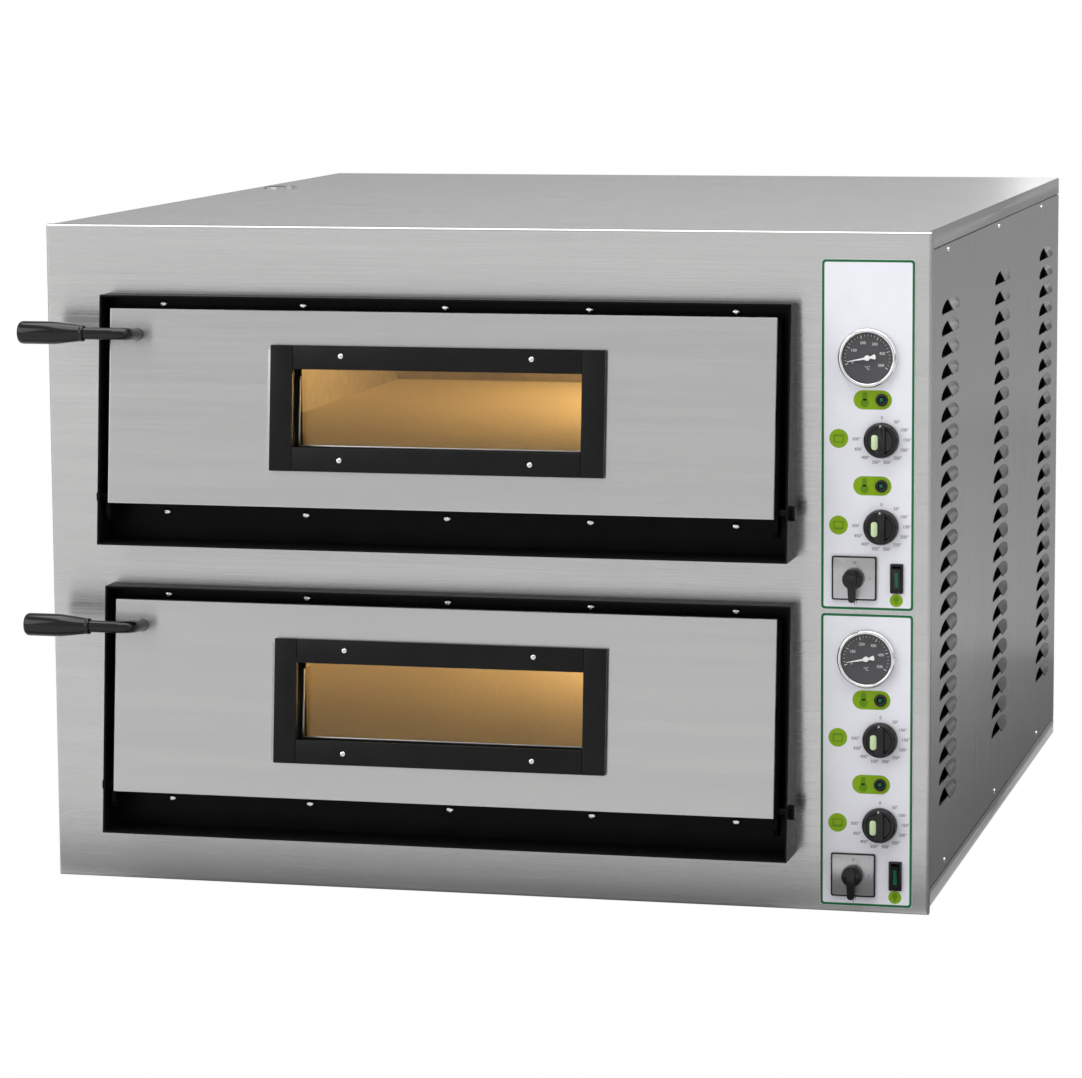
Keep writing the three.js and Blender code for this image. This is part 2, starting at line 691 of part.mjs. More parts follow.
function doorSkin(deck) {
  const sheet = bentPlate(DOOR.x0, DOOR.x1, FACE_BASE, FACE_TOP, 0, DOOR.lip, SHEET);
  const hollow = box(
    DOOR.x0 + SHEET,
    DOOR.x1 - SHEET,
    SHEET,
    DOOR.lip + THROUGH,
    FACE_BASE + SHEET,
    FACE_TOP - SHEET,
  );
  const opening = windowBox(WINDOW.width / 2 + 1, WINDOW.height / 2 + 1, -THROUGH, SHEET + THROUGH);
  const rodHole = cylinderY(HANDLE.x, upFace(HANDLE.z), HANDLE.rod + GAP + 0.2, -THROUGH, 5, 12);
  const shape = cut(sheet, ...[hollow, opening, rodHole].map(solid));
  return piece(`door_skin_${deck}`, shape, FINISHES.brushedSteel);
}

function windowFrame(deck) {
  const halfWidth = WINDOW.width / 2 + WINDOW.bar;
  const halfHeight = WINDOW.height / 2 + WINDOW.rail;
  const outline = roundedRectangle(
    WINDOW.x - halfWidth,
    WINDOW.x + halfWidth,
    -halfHeight,
    halfHeight,
    3,
  );
  const frame = solid(plateY(outline, -WINDOW.proud, -GAP));
  const opening = windowBox(WINDOW.width / 2, WINDOW.height / 2, -20, THROUGH);
  return piece(`window_frame_${deck}`, cut(frame, solid(opening)), FINISHES.blackEnamel);
}

function windowGlass(deck) {
  const pane = windowBox(
    WINDOW.width / 2 + GLASS.rebate - GAP,
    WINDOW.height / 2 + GLASS.rebate - GAP,
    GLASS.depth,
    GLASS.depth + GLASS.thickness,
  );
  return piece(`window_glass_${deck}`, solid(pane), FINISHES.warmGlass);
}

// The rod stands straight out of the door's face, then bends to the left into its grip.
function handleRod(deck) {
  const z = upFace(HANDLE.z);
  const straight = HANDLE.reach - HANDLE.bend;
  const bend = arc(4, 0, Math.PI / 2, (angle) =>
    new THREE.Vector3(
      HANDLE.x - HANDLE.bend * (1 - Math.cos(angle)),
      -straight - HANDLE.bend * Math.sin(angle),
      z,
    ),
  );
  const points = [
    new THREE.Vector3(HANDLE.x, SHEET, z),
    ...bend,
    new THREE.Vector3(HANDLE.gripX1 - 22, -HANDLE.reach, z),
  ];
  return piece(`handle_rod_${deck}`, solid(rod(points, HANDLE.rod, 10)), FINISHES.blackEnamel);
}

function handleGrip(deck) {
  const length = HANDLE.gripX1 - HANDLE.gripX0;
  const bore = HANDLE.rod + GAP + 0.2;
  const profile = [
    [0, 23],
    [bore, 23],
    [bore, 0],
    [8.8, 0],
    [9.2, 4],
    [12.8, length * 0.5],
    [12.8, length - 5],
    [10.8, length - 1.5],
    [6, length],
    [0, length],
  ];
  const mesh = piece(`handle_grip_${deck}`, solid(turnedY(profile, 16)), FINISHES.blackPlastic);
  mesh.rotation.z = -Math.PI / 2;
  mesh.position.set(HANDLE.gripX1, -HANDLE.reach, upFace(HANDLE.z));
  return mesh;
}

// A hex-headed pin through the surround's cheek into the door's arm; side is -1 left, +1 right.
function hingePin(name, side) {
  const cheek = side < 0 ? SURROUND.x0 : SURROUND.x1;
  const armRoot = side < 0 ? DOOR.x0 + SKIN_CLEAR : DOOR.x1 - SKIN_CLEAR;
  const tip = armRoot + side * (GAP + 0.4);
  const seat = cheek + side * GAP;
  const top = seat + side * HINGE.headThickness;
  const along = (radius, a, b, sides) =>
    solid(
      cylinderX(ahead(HINGE.ahead), HINGE.z, radius, Math.min(a, b), Math.max(a, b), sides),
    );
  const shape = joined(along(HINGE.pin, tip, seat + side, 12), along(HINGE.head, seat, top, 6));
  return piece(name, shape, FINISHES.blackEnamel);
}

function door(deck) {
  const face = group(
    doorSkin(deck),
    windowFrame(deck),
    windowGlass(deck),
    handleRod(deck),
    handleGrip(deck),
  );
  face.applyMatrix4(faceFrame);
  return group(doorBox(deck), face);
}

// ---------------------------------------------------------------- controls
const PLATE_FACE = ahead(GAP + PLATE.sheet);

function controlPlate(deck, top) {
  const outline = roundedRectangle(PLATE.x0, PLATE.x1, PLATE.z0, top, PLATE.corner);
  const sheet = solid(plateY(outline, PLATE_FACE, ahead(GAP)));
  const y0 = PLATE_FACE - THROUGH;
  const y1 = FRONT + THROUGH;
  const holes = CONTROL_ROWS.flatMap((row) => [
    cylinderY(LAMP.x, row.lampZ, LAMP.stem + GAP, y0, y1, 10),
    cylinderY(KNOB.x, row.knobZ, 4, y0, y1, 6),
  ]);
  holes.push(cylinderY(THERMOMETER.x, THERMOMETER.z, THERMOMETER.body + 1, y0, y1, 20));
  holes.push(cylinderY(SWITCH.x, SWITCH.z, 5, y0, y1, 8));
  holes.push(rockerBox(-1, y0, y1));
  return piece(`control_plate_${deck}`, cut(sheet, ...holes.map(solid)), FINISHES.panelFilm);
}

// A cup with a rolled bezel: the dial is its recessed floor.
function thermometerCase(deck) {
  const { bezel, body } = THERMOMETER;
  const dialForward = 3.5;
  const profile = [
    [1.2, -20],
    [body, -20],
    [body, GAP],
    [bezel, GAP],
    [bezel, 4],
    [bezel - 1.5, 7],
    [bezel - 4, 7],
    [bezel - 5, dialForward],
    [1.2, dialForward],
    [1.2, -20],
  ];
  const mesh = piece(`thermometer_case_${deck}`, solid(turnedY(profile, 20)), FINISHES.dial);
  mesh.position.set(THERMOMETER.x, PLATE_FACE, THERMOMETER.z);
  return mesh;
}

// The needle points left and a little down at rest; its hub turns on a stem in the case.
function thermometerNeedle(deck) {
  const blade = polygon([
    [-21, -0.3],
    [-6, -1.1],
    [9, -1.4],
    [9, 1.4],
    [-6, 1.1],
    [-21, 0.3],
  ]);
  const shape = joined(
    solid(plateY(blade, -5.2, -4.4)),
    solid(cylinderY(0, 0, 3, -5.6, -4, 8)),
    solid(cylinderY(0, 0, 0.8, -4.2, 4, 6)),
  );
  const mesh = piece(`thermometer_needle_${deck}`, shape, FINISHES.needle);
  mesh.rotation.y = THREE.MathUtils.degToRad(-8);
  mesh.position.set(THERMOMETER.x, PLATE_FACE, THERMOMETER.z);
  return mesh;
}

function thermostatKnob(name, z) {
  const { radius, height } = KNOB;
  const skirt = 0.8;
  const profile = [
    [0, -14],
    [3, -14],
    [3, skirt],
    [radius, skirt],
    [radius, 6],
    [radius - 2.5, 11],
    [0, 11],
  ];
  const ridge = box(-4.5, 4.5, -height, -10, -(radius - 3), radius - 3);
  const shape = joined(solid(turnedY(profile, 18)), solid(ridge));
  const mesh = piece(name, shape, FINISHES.blackPlastic);
  mesh.position.set(KNOB.x, PLATE_FACE, z);
  return mesh;
}

function pilotLamp(name, z) {
  const profile = [
    [0, -16],
    [LAMP.stem, -16],
    [LAMP.stem, GAP],
    [LAMP.radius, GAP],
    [LAMP.radius, 2],
    [LAMP.radius - 2, 4],
    [0, 5],
  ];
  const mesh = piece(name, solid(turnedY(profile, 10)), FINISHES.greenLens);
  mesh.position.set(LAMP.x, PLATE_FACE, z);
  return mesh;
}

function switchPlate(deck) {
  const halfWidth = SWITCH.width / 2;
  const halfHeight = SWITCH.height / 2;
  const sheet = box(-halfWidth, halfWidth, -GAP - 2.5, -GAP, -halfHeight, halfHeight);
  const hole = cylinderY(0, 0, 4.5, -5, THROUGH, 8);
  const mesh = piece(`switch_plate_${deck}`, cut(solid(sheet), solid(hole)), FINISHES.brightSteel);
  mesh.position.set(SWITCH.x, PLATE_FACE, SWITCH.z);
  return mesh;
}

function switchLever(deck) {
  const seat = 3.2;
  const hub = turnedY(
    [
      [0, -14],
      [3.5, -14],
      [3.5, seat],
      [SWITCH.hub, seat],
      [SWITCH.hub, 14],
      [SWITCH.hub - 2, 16],
      [0, 16],
    ],
    12,
  );
  const lever = plateY(
    polygon([
      [-5, 0],
      [-4, -SWITCH.lever],
      [4, -SWITCH.lever],
      [5, 0],
    ]),
    -20,
    -8,
  );
  const mesh = piece(`switch_lever_${deck}`, joined(solid(hub), solid(lever)), FINISHES.blackPlastic);
  mesh.position.set(SWITCH.x, PLATE_FACE, SWITCH.z);
  return mesh;
}

// A box centred on the rocker switch, smaller than the bezel by `inset` on each side, less 1.
function rockerBox(inset, y0, y1) {
  const halfWidth = ROCKER.width / 2 - 1.5 - inset;
  const halfHeight = ROCKER.height / 2 - 1.5 - inset;
  return box(
    ROCKER.x - halfWidth,
    ROCKER.x + halfWidth,
    y0,
    y1,
    ROCKER.z - halfHeight,
    ROCKER.z + halfHeight,
  );
}

function rockerBezel(deck) {
  const y = PLATE_FACE - GAP;
  const rim = rockerBox(-1.5, y - 2, y);
  const body = rockerBox(-1 + GAP, y - 1, y + 18);
  const pocket = rockerBox(0.6, y - 10, y + 12);
  const shape = cut(joined(solid(rim), solid(body)), solid(pocket));
  return piece(`rocker_bezel_${deck}`, shape, FINISHES.blackPlastic);
}

// A shallow V that tips about the middle of its back; it rests with its lower half pressed in.
function lightRocker(deck) {
  const halfWidth = ROCKER.width / 2 - 2.5;
  const halfHeight = ROCKER.height / 2 - 3.6;
  const rise = Math.tan(THREE.MathUtils.degToRad(ROCKER.rest)) * halfHeight;
  const outline = [
    [0, -halfHeight],
    [-5 - rise, -halfHeight],
    [-5, 0],
    [-5 - rise, halfHeight],
    [0, halfHeight],
    [4, 0],
  ];
  const mesh = piece(
    `light_rocker_${deck}`,
    solid(prismX(outline, -halfWidth, halfWidth)),
    FINISHES.greenLens,
  );
  mesh.rotation.x = THREE.MathUtils.degToRad(ROCKER.rest);
  mesh.position.set(ROCKER.x, PLATE_FACE + 2, ROCKER.z);
  return mesh;
}

function controls(deck, top) {
  const rows = CONTROL_ROWS.flatMap((row) => [
    pilotLamp(`pilot_lamp_${row.name}_${deck}`, row.lampZ),
    thermostatKnob(`thermostat_knob_${row.name}_${deck}`, row.knobZ),
  ]);
  return group(
    controlPlate(deck, top),
    thermometerCase(deck),
    thermometerNeedle(deck),
    ...rows,
    switchPlate(deck),
    switchLever(deck),
    rockerBezel(deck),
    lightRocker(deck),
  );
}

// ---------------------------------------------------------------- assembly
function deckPieces(deck) {
  return group(
    chamber(deck),
    stoneFloor(deck),
    heatingElement(`heating_element_top_${deck}`, ELEMENT.topZ),
    heatingElement(`heating_element_bottom_${deck}`, ELEMENT.baseZ),
    ovenLamp(deck),
    surround(deck),
    door(deck),
    hingePin(`hinge_pin_left_${deck}`, -1),
    hingePin(`hinge_pin_right_${deck}`, 1),
  );
}

const oven = group(
  fascia(),
  topCover(),
  basePan(),
  ...sidePanels(),
  backPanel(),
  controlBayWall(),
  insulation(),
  ventDuct(),
  cableGland(),
);

["upper", "lower"].forEach((deck, i) => {
  const pieces = deckPieces(deck);
  pieces.position.z = deckOffsets[i];
  const panel = controls(deck, plateTops[i]);
  panel.position.z = deckOffsets[i];
  oven.add(pieces, panel);
});

export default oven;
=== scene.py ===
import math
import random

import bmesh
import bpy
from mathutils import Matrix, Vector


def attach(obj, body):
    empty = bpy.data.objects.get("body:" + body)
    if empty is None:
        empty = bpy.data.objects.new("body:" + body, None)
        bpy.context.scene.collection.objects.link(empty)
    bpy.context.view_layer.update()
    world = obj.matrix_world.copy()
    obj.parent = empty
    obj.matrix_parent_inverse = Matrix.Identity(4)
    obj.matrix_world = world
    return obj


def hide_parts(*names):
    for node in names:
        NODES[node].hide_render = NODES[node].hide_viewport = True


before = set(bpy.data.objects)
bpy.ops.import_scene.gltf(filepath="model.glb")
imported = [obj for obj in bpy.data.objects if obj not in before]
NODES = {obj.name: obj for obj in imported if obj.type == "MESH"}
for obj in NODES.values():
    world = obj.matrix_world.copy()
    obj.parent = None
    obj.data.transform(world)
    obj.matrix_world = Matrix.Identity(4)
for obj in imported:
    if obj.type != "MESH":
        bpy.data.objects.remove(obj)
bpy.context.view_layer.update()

# Shapes are in millimetres and become metres when a mesh is made.
# Lights, cards, the floor and the camera are in metres from the start.
MM = 0.001
FRONT = -575.0
BACK = 575.0
SIDE_X = 500.0
HEIGHT = 750.0
DECKS = {"upper": 0.0, "lower": -330.0}  # height of a deck's pieces over those of the upper one

DOOR_LEAN = math.radians(5.6)
DOOR_TOP = 658.5
DOOR_TOP_AHEAD = 27.0  # how far the door's top edge stands ahead of the fascia
WINDOW = {
    "x": -38.2, "z": 550.5, "half_width": 165.0, "half_height": 43.3,
    "bar": 25.7, "rail": 26.7, "proud": 8.0,
}
GLASS_DEPTH = 20.0
HANDLE = {
    "x": -388.0, "z": 629.2, "radius": 6.8, "reach": 45.0, "bend": 14.0,
    "grip_x0": -511.5, "grip_x1": -434.5,
}
SURROUND = {"x0": -431.5, "x1": 357.0, "z0": 393.5, "z1": 673.0}
SURROUND_SCREWS = {"count": 5, "inset": 66.5, "pitch": 164.0, "below_top": 11.5, "above_base": 32.5}
HINGE = {"ahead": 32.0, "z": 445.5, "radius": 5.0, "head": 8.6, "nut": 8.2}

ELEMENT = {
    "top": 613.0, "bottom": 447.0, "radius": 4.0, "x0": -375.0, "x1": 300.0, "terminal_x": 386.0,
    "y0": -435.0, "y1": 415.0, "bends": 5, "pitch": 170.0,
}
OVEN_LAMP = {"x": 322.0, "y": 300.0, "z": 566.0}

PLATE = {"x0": 384.9, "x1": 487.2, "z0": 337.4, "top": {"upper": 720.3, "lower": 663.2}}
PLATE_FACE = -576.5
INK = 0.16  # thickness of a printed shape
DIAL = (435.8, 613.8)  # x and z of a control's middle, here and in the next lines
SWITCH = (422.0, 372.5)
ROCKER = (468.7, 373.0)
KNOB_X = 451.4
ROWS = {"top": (568.0, 524.3), "bottom": (474.1, 429.3)}  # heights of a row's lamp and of its knob

# A louvre's hole is half an ellipse. A hood covers its rear part, from the column's y on.
LOUVRE = {"columns": (-423.0, 6.0, 424.0), "count": 24, "top": 654.0, "pitch": 24.0}
HOLE = {"centre": 21.0, "half_length": 67.0, "height": 15.5, "drop": 2.0}
HOOD = {"length": 76.0, "proud": 6.6}
SIDE_SHEET = {"thickness": 1.5, "front": FRONT + 2.5, "z0": 21.2, "z1": HEIGHT - 22.2}
# A black sheet behind each louvre column that makes the holes look dark: painted shade.
SHADE_SHEET = {"depth": 12.0, "thickness": 2.0, "front": 52.0, "rear": 94.0, "z0": 84.0, "z1": 676.0}


# ---------------------------------------------------------------- materials
def new_material(name, color, roughness, metallic=0.0, **sockets):
    """A principled material; the other sockets are given by name with _ for spaces."""
    material = bpy.data.materials.new(name)
    material.use_nodes = True
    shader = material.node_tree.nodes["Principled BSDF"]
    shader.inputs["Base Color"].default_value = (*color, 1)
    shader.inputs["Roughness"].default_value = roughness
    shader.inputs["Metallic"].default_value = metallic
    for socket, value in sockets.items():
        shader.inputs[socket.replace("_", " ")].default_value = value
    return material


def noise(material, scale, detail=3.0, roughness=0.55):
    """The value of a noise texture in the object's own coordinates; scale is per metre along x, y and z."""
    nodes, links = material.node_tree.nodes, material.node_tree.links
    place = nodes.new("ShaderNodeTexCoord")
    mapping = nodes.new("ShaderNodeMapping")
    mapping.inputs["Scale"].default_value = scale if isinstance(scale, tuple) else (scale,) * 3
    texture = nodes.new("ShaderNodeTexNoise")
    texture.inputs["Scale"].default_value = 1.0
    texture.inputs["Detail"].default_value = detail
    texture.inputs["Roughness"].default_value = roughness
    links.new(place.outputs["Object"], mapping.inputs["Vector"])
    links.new(mapping.outputs["Vector"], texture.inputs["Vector"])
    return texture.outputs["Fac"]


NOISE_RANGE = (0.3, 0.7)  # where nearly all of a noise texture's values lie


def spread(material, value, low, high):
    """A noise value turned into a number between low and high."""
    ranged = material.node_tree.nodes.new("ShaderNodeMapRange")
    ranged.inputs["From Min"].default_value = NOISE_RANGE[0]
    ranged.inputs["From Max"].default_value = NOISE_RANGE[1]
    ranged.inputs["To Min"].default_value = low
    ranged.inputs["To Max"].default_value = high
    material.node_tree.links.new(value, ranged.inputs["Value"])
    return ranged.outputs["Result"]


def blend_color(material, value, dark, light):
    """Base colour that goes from dark to light with a noise value."""
    nodes, links = material.node_tree.nodes, material.node_tree.links
    ramp = nodes.new("ShaderNodeValToRGB")
    ramp.color_ramp.elements[0].position = NOISE_RANGE[0]
    ramp.color_ramp.elements[0].color = (*dark, 1)
    ramp.color_ramp.elements[1].position = NOISE_RANGE[1]
    ramp.color_ramp.elements[1].color = (*light, 1)
    links.new(value, ramp.inputs["Fac"])
    links.new(ramp.outputs["Color"], nodes["Principled BSDF"].inputs["Base Color"])


def rough(material, value, low, high):
    """Roughness that varies between low and high with a noise value."""
    shader = material.node_tree.nodes["Principled BSDF"]
    material.node_tree.links.new(spread(material, value, low, high), shader.inputs["Roughness"])


def bump(material, value, distance):
    """Raises the surface by up to distance millimetres."""
    nodes, links = material.node_tree.nodes, material.node_tree.links
    node = nodes.new("ShaderNodeBump")
    node.inputs["Strength"].default_value = 1.0
    node.inputs["Distance"].default_value = distance * MM
    links.new(value, node.inputs["Height"])
    links.new(node.outputs["Normal"], nodes["Principled BSDF"].inputs["Normal"])


def shade(color, factor):
    return tuple(min(1.0, c * factor) for c in color)


def along_grain(grain, along, across):
    """Noise scales along x, y and z: one along the grain's axis and another across it."""
    return tuple(along if axis == grain else across for axis in "XYZ")


def brushed_steel(name, color, roughness, grain, tangent):
    """Steel brushed along one axis; the radial tangent about the other axis named runs across the grain."""
    material = new_material(name, color, roughness, 1.0, Anisotropic=0.8)
    nodes, links = material.node_tree.nodes, material.node_tree.links
    streaks = noise(material, along_grain(grain, 6.0, 1100.0), 4.0, 0.7)
    clouds = noise(material, along_grain(grain, 1.5, 60.0), 3.0)
    blend_color(material, clouds, shade(color, 0.97), shade(color, 1.03))
    rough(material, streaks, roughness - 0.04, roughness + 0.05)
    bump(material, streaks, 0.001)
    radial = nodes.new("ShaderNodeTangent")
    radial.direction_type = "RADIAL"
    radial.axis = tangent
    links.new(radial.outputs["Tangent"], nodes["Principled BSDF"].inputs["Tangent"])
    return material


def painted(name, color, roughness, vary=0.12, grain=1400.0, height=0.02, **sockets):
    """Paint, enamel or moulded plastic with a fine texture and a slightly uneven gloss."""
    material = new_material(name, color, roughness, **sockets)
    blend_color(material, noise(material, 25.0, 4.0), shade(color, 1 - vary), shade(color, 1 + vary))
    rough(material, noise(material, 90.0, 4.0), roughness * 0.85, roughness * 1.15)
    bump(material, noise(material, grain, 2.0), height)
    return material


def ink(name, color, roughness=0.4, vary=0.06, specular=0.15):
    """Printing ink on the control plates."""
    return painted(name, color, roughness, vary, 2600.0, 0.01, Specular_IOR_Level=specular)


def stone_material():
    color = (0.74, 0.66, 0.53)
    material = new_material("oven_stone", color, 0.85)
    blend_color(material, noise(material, 260.0, 6.0, 0.75), shade(color, 0.78), shade(color, 1.12))
    rough(material, noise(material, 40.0), 0.75, 0.95)
    bump(material, noise(material, 700.0, 5.0), 0.25)
    return material


def aluminised_material(name, color, roughness):
    """Hot-dipped sheet: a faint spangle and an uneven satin gloss."""
    material = new_material(name, color, roughness, 1.0)
    blend_color(material, noise(material, 70.0, 5.0, 0.65), shade(color, 0.86), shade(color, 1.1))
    rough(material, noise(material, 140.0, 4.0), roughness - 0.08, roughness + 0.1)
    bump(material, noise(material, 900.0, 3.0), 0.012)
    return material


def glass_material(name, color, roughness=0.02, **sockets):
    material = new_material(name, color, roughness, Transmission_Weight=1.0, IOR=1.45, **sockets)
    rough(material, noise(material, 30.0, 3.0), roughness * 0.5, roughness * 1.5)
    return material


STEEL = (0.56, 0.553, 0.55)
MATERIALS = {
    "steel_x": brushed_steel("steel_front", STEEL, 0.24, "X", "X"),
    "steel_top": brushed_steel("steel_top", STEEL, 0.24, "X", "X"),
    "steel_side": brushed_steel("steel_side", STEEL, 0.3, "Z", "Z"),
    # Painted shade: the hoods are the side panel's own steel, given a far darker colour so that they look
    # shaded.
    "hood_painted_shade": brushed_steel("hood_painted_shade", (0.13, 0.129, 0.128), 0.34, "Z", "Z"),
    "door_steel": brushed_steel("door_steel", shade(STEEL, 1.02), 0.22, "X", "X"),
    "bright_steel": painted("bright_steel", (0.78, 0.78, 0.79), 0.14, 0.03, 900.0, 0.004, metallic=1.0),
    "satin_steel": brushed_steel("satin_steel", (0.5, 0.5, 0.51), 0.3, "Z", "Z"),
    "aluminised": aluminised_material("aluminised_steel", (0.5, 0.51, 0.52), 0.42),
    "chamber": aluminised_material("chamber_steel", (0.5, 0.46, 0.4), 0.45),
    "enamel": painted(
        "black_enamel", (0.005, 0.005, 0.0055), 0.32, 0.25, 1600.0, 0.02, Specular_IOR_Level=0.06
    ),
    "frame": painted(
        "frame_enamel", (0.007, 0.007, 0.0073), 0.38, 0.2, 1600.0, 0.03, Specular_IOR_Level=0.14
    ),
    "matt_black": painted(
        "matt_black", (0.004, 0.004, 0.004), 0.9, 0.2, 900.0, 0.03, Specular_IOR_Level=0.03
    ),
    "plastic": painted(
        "black_plastic", (0.005, 0.005, 0.0055), 0.12, 0.2, 1200.0, 0.006, Specular_IOR_Level=0.36
    ),
    "nylon": painted("black_nylon", (0.02, 0.02, 0.021), 0.5, 0.2, 1500.0, 0.03),
    "film": painted("panel_film", (0.8, 0.8, 0.86), 0.4, 0.02, 2600.0, 0.012, Specular_IOR_Level=0.3),
    "print_green": ink("print_green", (0.016, 0.14, 0.05)),
    "print_lime": ink("print_lime", (0.225, 0.385, 0.009), vary=0.05),
    "print_olive": ink("print_olive", (0.12, 0.25, 0.008)),
    "print_grey": ink("print_grey", (0.02, 0.02, 0.024), 0.45, 0.1, 0.2),
    "print_white": painted("print_white", (0.7, 0.7, 0.7), 0.4, 0.04, 2600.0, 0.01),
    "pale_green": painted("pale_green", (0.62, 0.78, 0.45), 0.25, 0.04, 900.0, 0.01),
    "dial": painted("dial_grey", (0.075, 0.075, 0.08), 0.45, 0.08, 1500.0, 0.01, Specular_IOR_Level=0.25),
    "needle": painted("needle_white", (0.85, 0.85, 0.85), 0.3, 0.03, 900.0, 0.005),
    "green_lens": painted(
        "green_lens", (0.008, 0.1, 0.05), 0.14, 0.15, 500.0, 0.02, Specular_IOR_Level=0.3
    ),
    "stone": stone_material(),
    "wool": painted("mineral_wool", (0.66, 0.58, 0.33), 0.95, 0.25, 500.0, 0.8),
    "element": painted("element_sheath", (0.12, 0.1, 0.09), 0.5, 0.3, 300.0, 0.02, metallic=0.7),
    # Painted light: the amber tint stands in for the warm glow of the lit chamber behind the pane.
    "glass_tinted_for_lamp_glow": glass_material("glass_tinted_for_lamp_glow", (0.94, 0.75, 0.38)),
    "lamp_glass": glass_material("lamp_glass", (1.0, 0.95, 0.85), 0.15),
}


# ---------------------------------------------------------------- mesh building
def facing(x, y, z):
    """Places a shape that is drawn in x and y and stands along z so that it stands out towards -Y."""
    return Matrix.Translation((x, y, z)) @ Matrix.Rotation(math.pi / 2, 4, "X")


def add(mesh, points, faces, place=Matrix.Identity(4)):
    """Adds points and faces, given in millimetres and moved by place."""
    vertices = [mesh.verts.new(place @ Vector(p)) for p in points]
    return [mesh.faces.new([vertices[i] for i in face]) for face in faces]


def add_lathe(mesh, profile, place, steps=48):
    """Turns (radius, height) points about the local z axis; a radius of 0 closes the shape."""
    rings = []
    for radius, height in profile:
        count = 1 if radius == 0 else steps
        turn = [2 * math.pi * i / steps for i in range(count)]
        points = [Vector((radius * math.cos(a), radius * math.sin(a), height)) for a in turn]
        rings.append([mesh.verts.new(place @ point) for point in points])
    for lower, upper in zip(rings, rings[1:]):
        for i in range(steps):
            j = (i + 1) % steps
            below = [lower[k % len(lower)] for k in (i, j)]
            above = [upper[k % len(upper)] for k in (j, i)]
            unique = list(dict.fromkeys(below + above))
            if len(unique) > 2:
                mesh.faces.new(unique)


def add_prism(mesh, outline, z0, z1, place, rounding=0.0, steps=2):
    """An outline in x and y that stands from z0 to z1, with its edges rounded."""
    count = len(outline)
    points = [(x, y, z0) for x, y in outline] + [(x, y, z1) for x, y in outline]
    sides = [(i, (i + 1) % count, (i + 1) % count + count, i + count) for i in range(count)]
    ends = [tuple(reversed(range(count))), tuple(range(count, 2 * count))]
    faces = add(mesh, points, [*ends, *sides], place)
    if rounding:
        edges = {edge for face in faces[:2] for edge in face.edges}
        bmesh.ops.bevel(mesh, geom=list(edges), offset=rounding, segments=steps, profile=0.5, affect="EDGES")


def add_box(mesh, low, high, place=Matrix.Identity(4), rounding=0.0, steps=2):
    """A box with all of its edges rounded."""
    corners = [(x, y, z) for z in (low[2], high[2]) for y in (low[1], high[1]) for x in (low[0], high[0])]
    faces = [(0, 2, 3, 1), (4, 5, 7, 6), (0, 1, 5, 4), (2, 6, 7, 3), (0, 4, 6, 2), (1, 3, 7, 5)]
    made = add(mesh, corners, faces, place)
    if rounding:
        edges = {edge for face in made for edge in face.edges}
        bmesh.ops.bevel(mesh, geom=list(edges), offset=rounding, segments=steps, profile=0.5, affect="EDGES")


def add_tube(mesh, path, radius, place=Matrix.Identity(4), sides=20):
    """A round bar along a path of points."""
    path = [Vector(p) for p in path]
    side = None
    rings = []
    for i, point in enumerate(path):
        ahead = (path[min(i + 1, len(path) - 1)] - path[max(i - 1, 0)]).normalized()
        if side is None:
            side = ahead.orthogonal().normalized()
        side = (side - ahead * side.dot(ahead)).normalized()
        up = ahead.cross(side)
        ring = []
        for k in range(sides):
            angle = 2 * math.pi * k / sides
            spoke = math.cos(angle) * side + math.sin(angle) * up
            ring.append(mesh.verts.new(place @ (point + radius * spoke)))
        rings.append(ring)
    for lower, upper in zip(rings, rings[1:]):
        for k in range(sides):
            mesh.faces.new((lower[k], lower[(k + 1) % sides], upper[(k + 1) % sides], upper[k]))
    mesh.faces.new(list(reversed(rings[0])))
    mesh.faces.new(rings[-1])


def arc(count, start, end, radius=1.0, center=(0.0, 0.0)):
    """Points along an arc, with angles in degrees."""
    points = []
    for i in range(count):
        angle = math.radians(start + (end - start) * i / (count - 1))
        points.append((center[0] + radius * math.cos(angle), center[1] + radius * math.sin(angle)))
    return points


def rounded_rectangle(x0, x1, y0, y1, radius, steps=8):
    """The outline of a rectangle with round corners."""
    corners = [(x1 - radius, y0 + radius, -90), (x1 - radius, y1 - radius, 0)]
    corners += [(x0 + radius, y1 - radius, 90), (x0 + radius, y0 + radius, 180)]
    return [p for cx, cy, start in corners for p in arc(steps, start, start + 90, radius, (cx, cy))]


def circle(x, y, radius, steps=48):
    return arc(steps + 1, 0, 360, radius, (x, y))[:-1]


def finish_piece(obj, material, body, stands_for=(), angle=35.0):
    """Gives a piece its material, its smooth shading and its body."""
    obj.data.materials.clear()
    obj.data.materials.append(MATERIALS[material])
    obj.data.polygons.foreach_set("use_smooth", [True] * len(obj.data.polygons))
    obj.data.set_sharp_from_angle(angle=math.radians(angle))
    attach(obj, body)
    if stands_for:
        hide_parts(*stands_for)
    return obj


def piece(name, mesh, material, body, stands_for=(), angle=35.0):
    """Makes the collected mesh one object of the oven."""
    bmesh.ops.recalc_face_normals(mesh, faces=mesh.faces)
    for vertex in mesh.verts:
        vertex.co *= MM
    data = bpy.data.meshes.new(name)
    mesh.to_mesh(data)
    mesh.free()
    obj = bpy.data.objects.new(name, data)
    bpy.context.scene.collection.objects.link(obj)
    return finish_piece(obj, material, body, stands_for, angle)


def print_shapes(mesh, outlines, thickness, place):
    """Adds flat shapes with the depth of ink; an outline inside another is a hole."""
    curve = bpy.data.curves.new("shapes", "CURVE")
    curve.dimensions = "2D"
    curve.fill_mode = "BOTH"
    curve.extrude = thickness / 2
    for outline in outlines:
        spline = curve.splines.new("POLY")
        spline.points.add(len(outline) - 1)
        spline.points.foreach_set("co", [c for x, y in outline for c in (x, y, 0.0, 1.0)])
        spline.use_cyclic_u = True
    add_curve(mesh, curve, place)


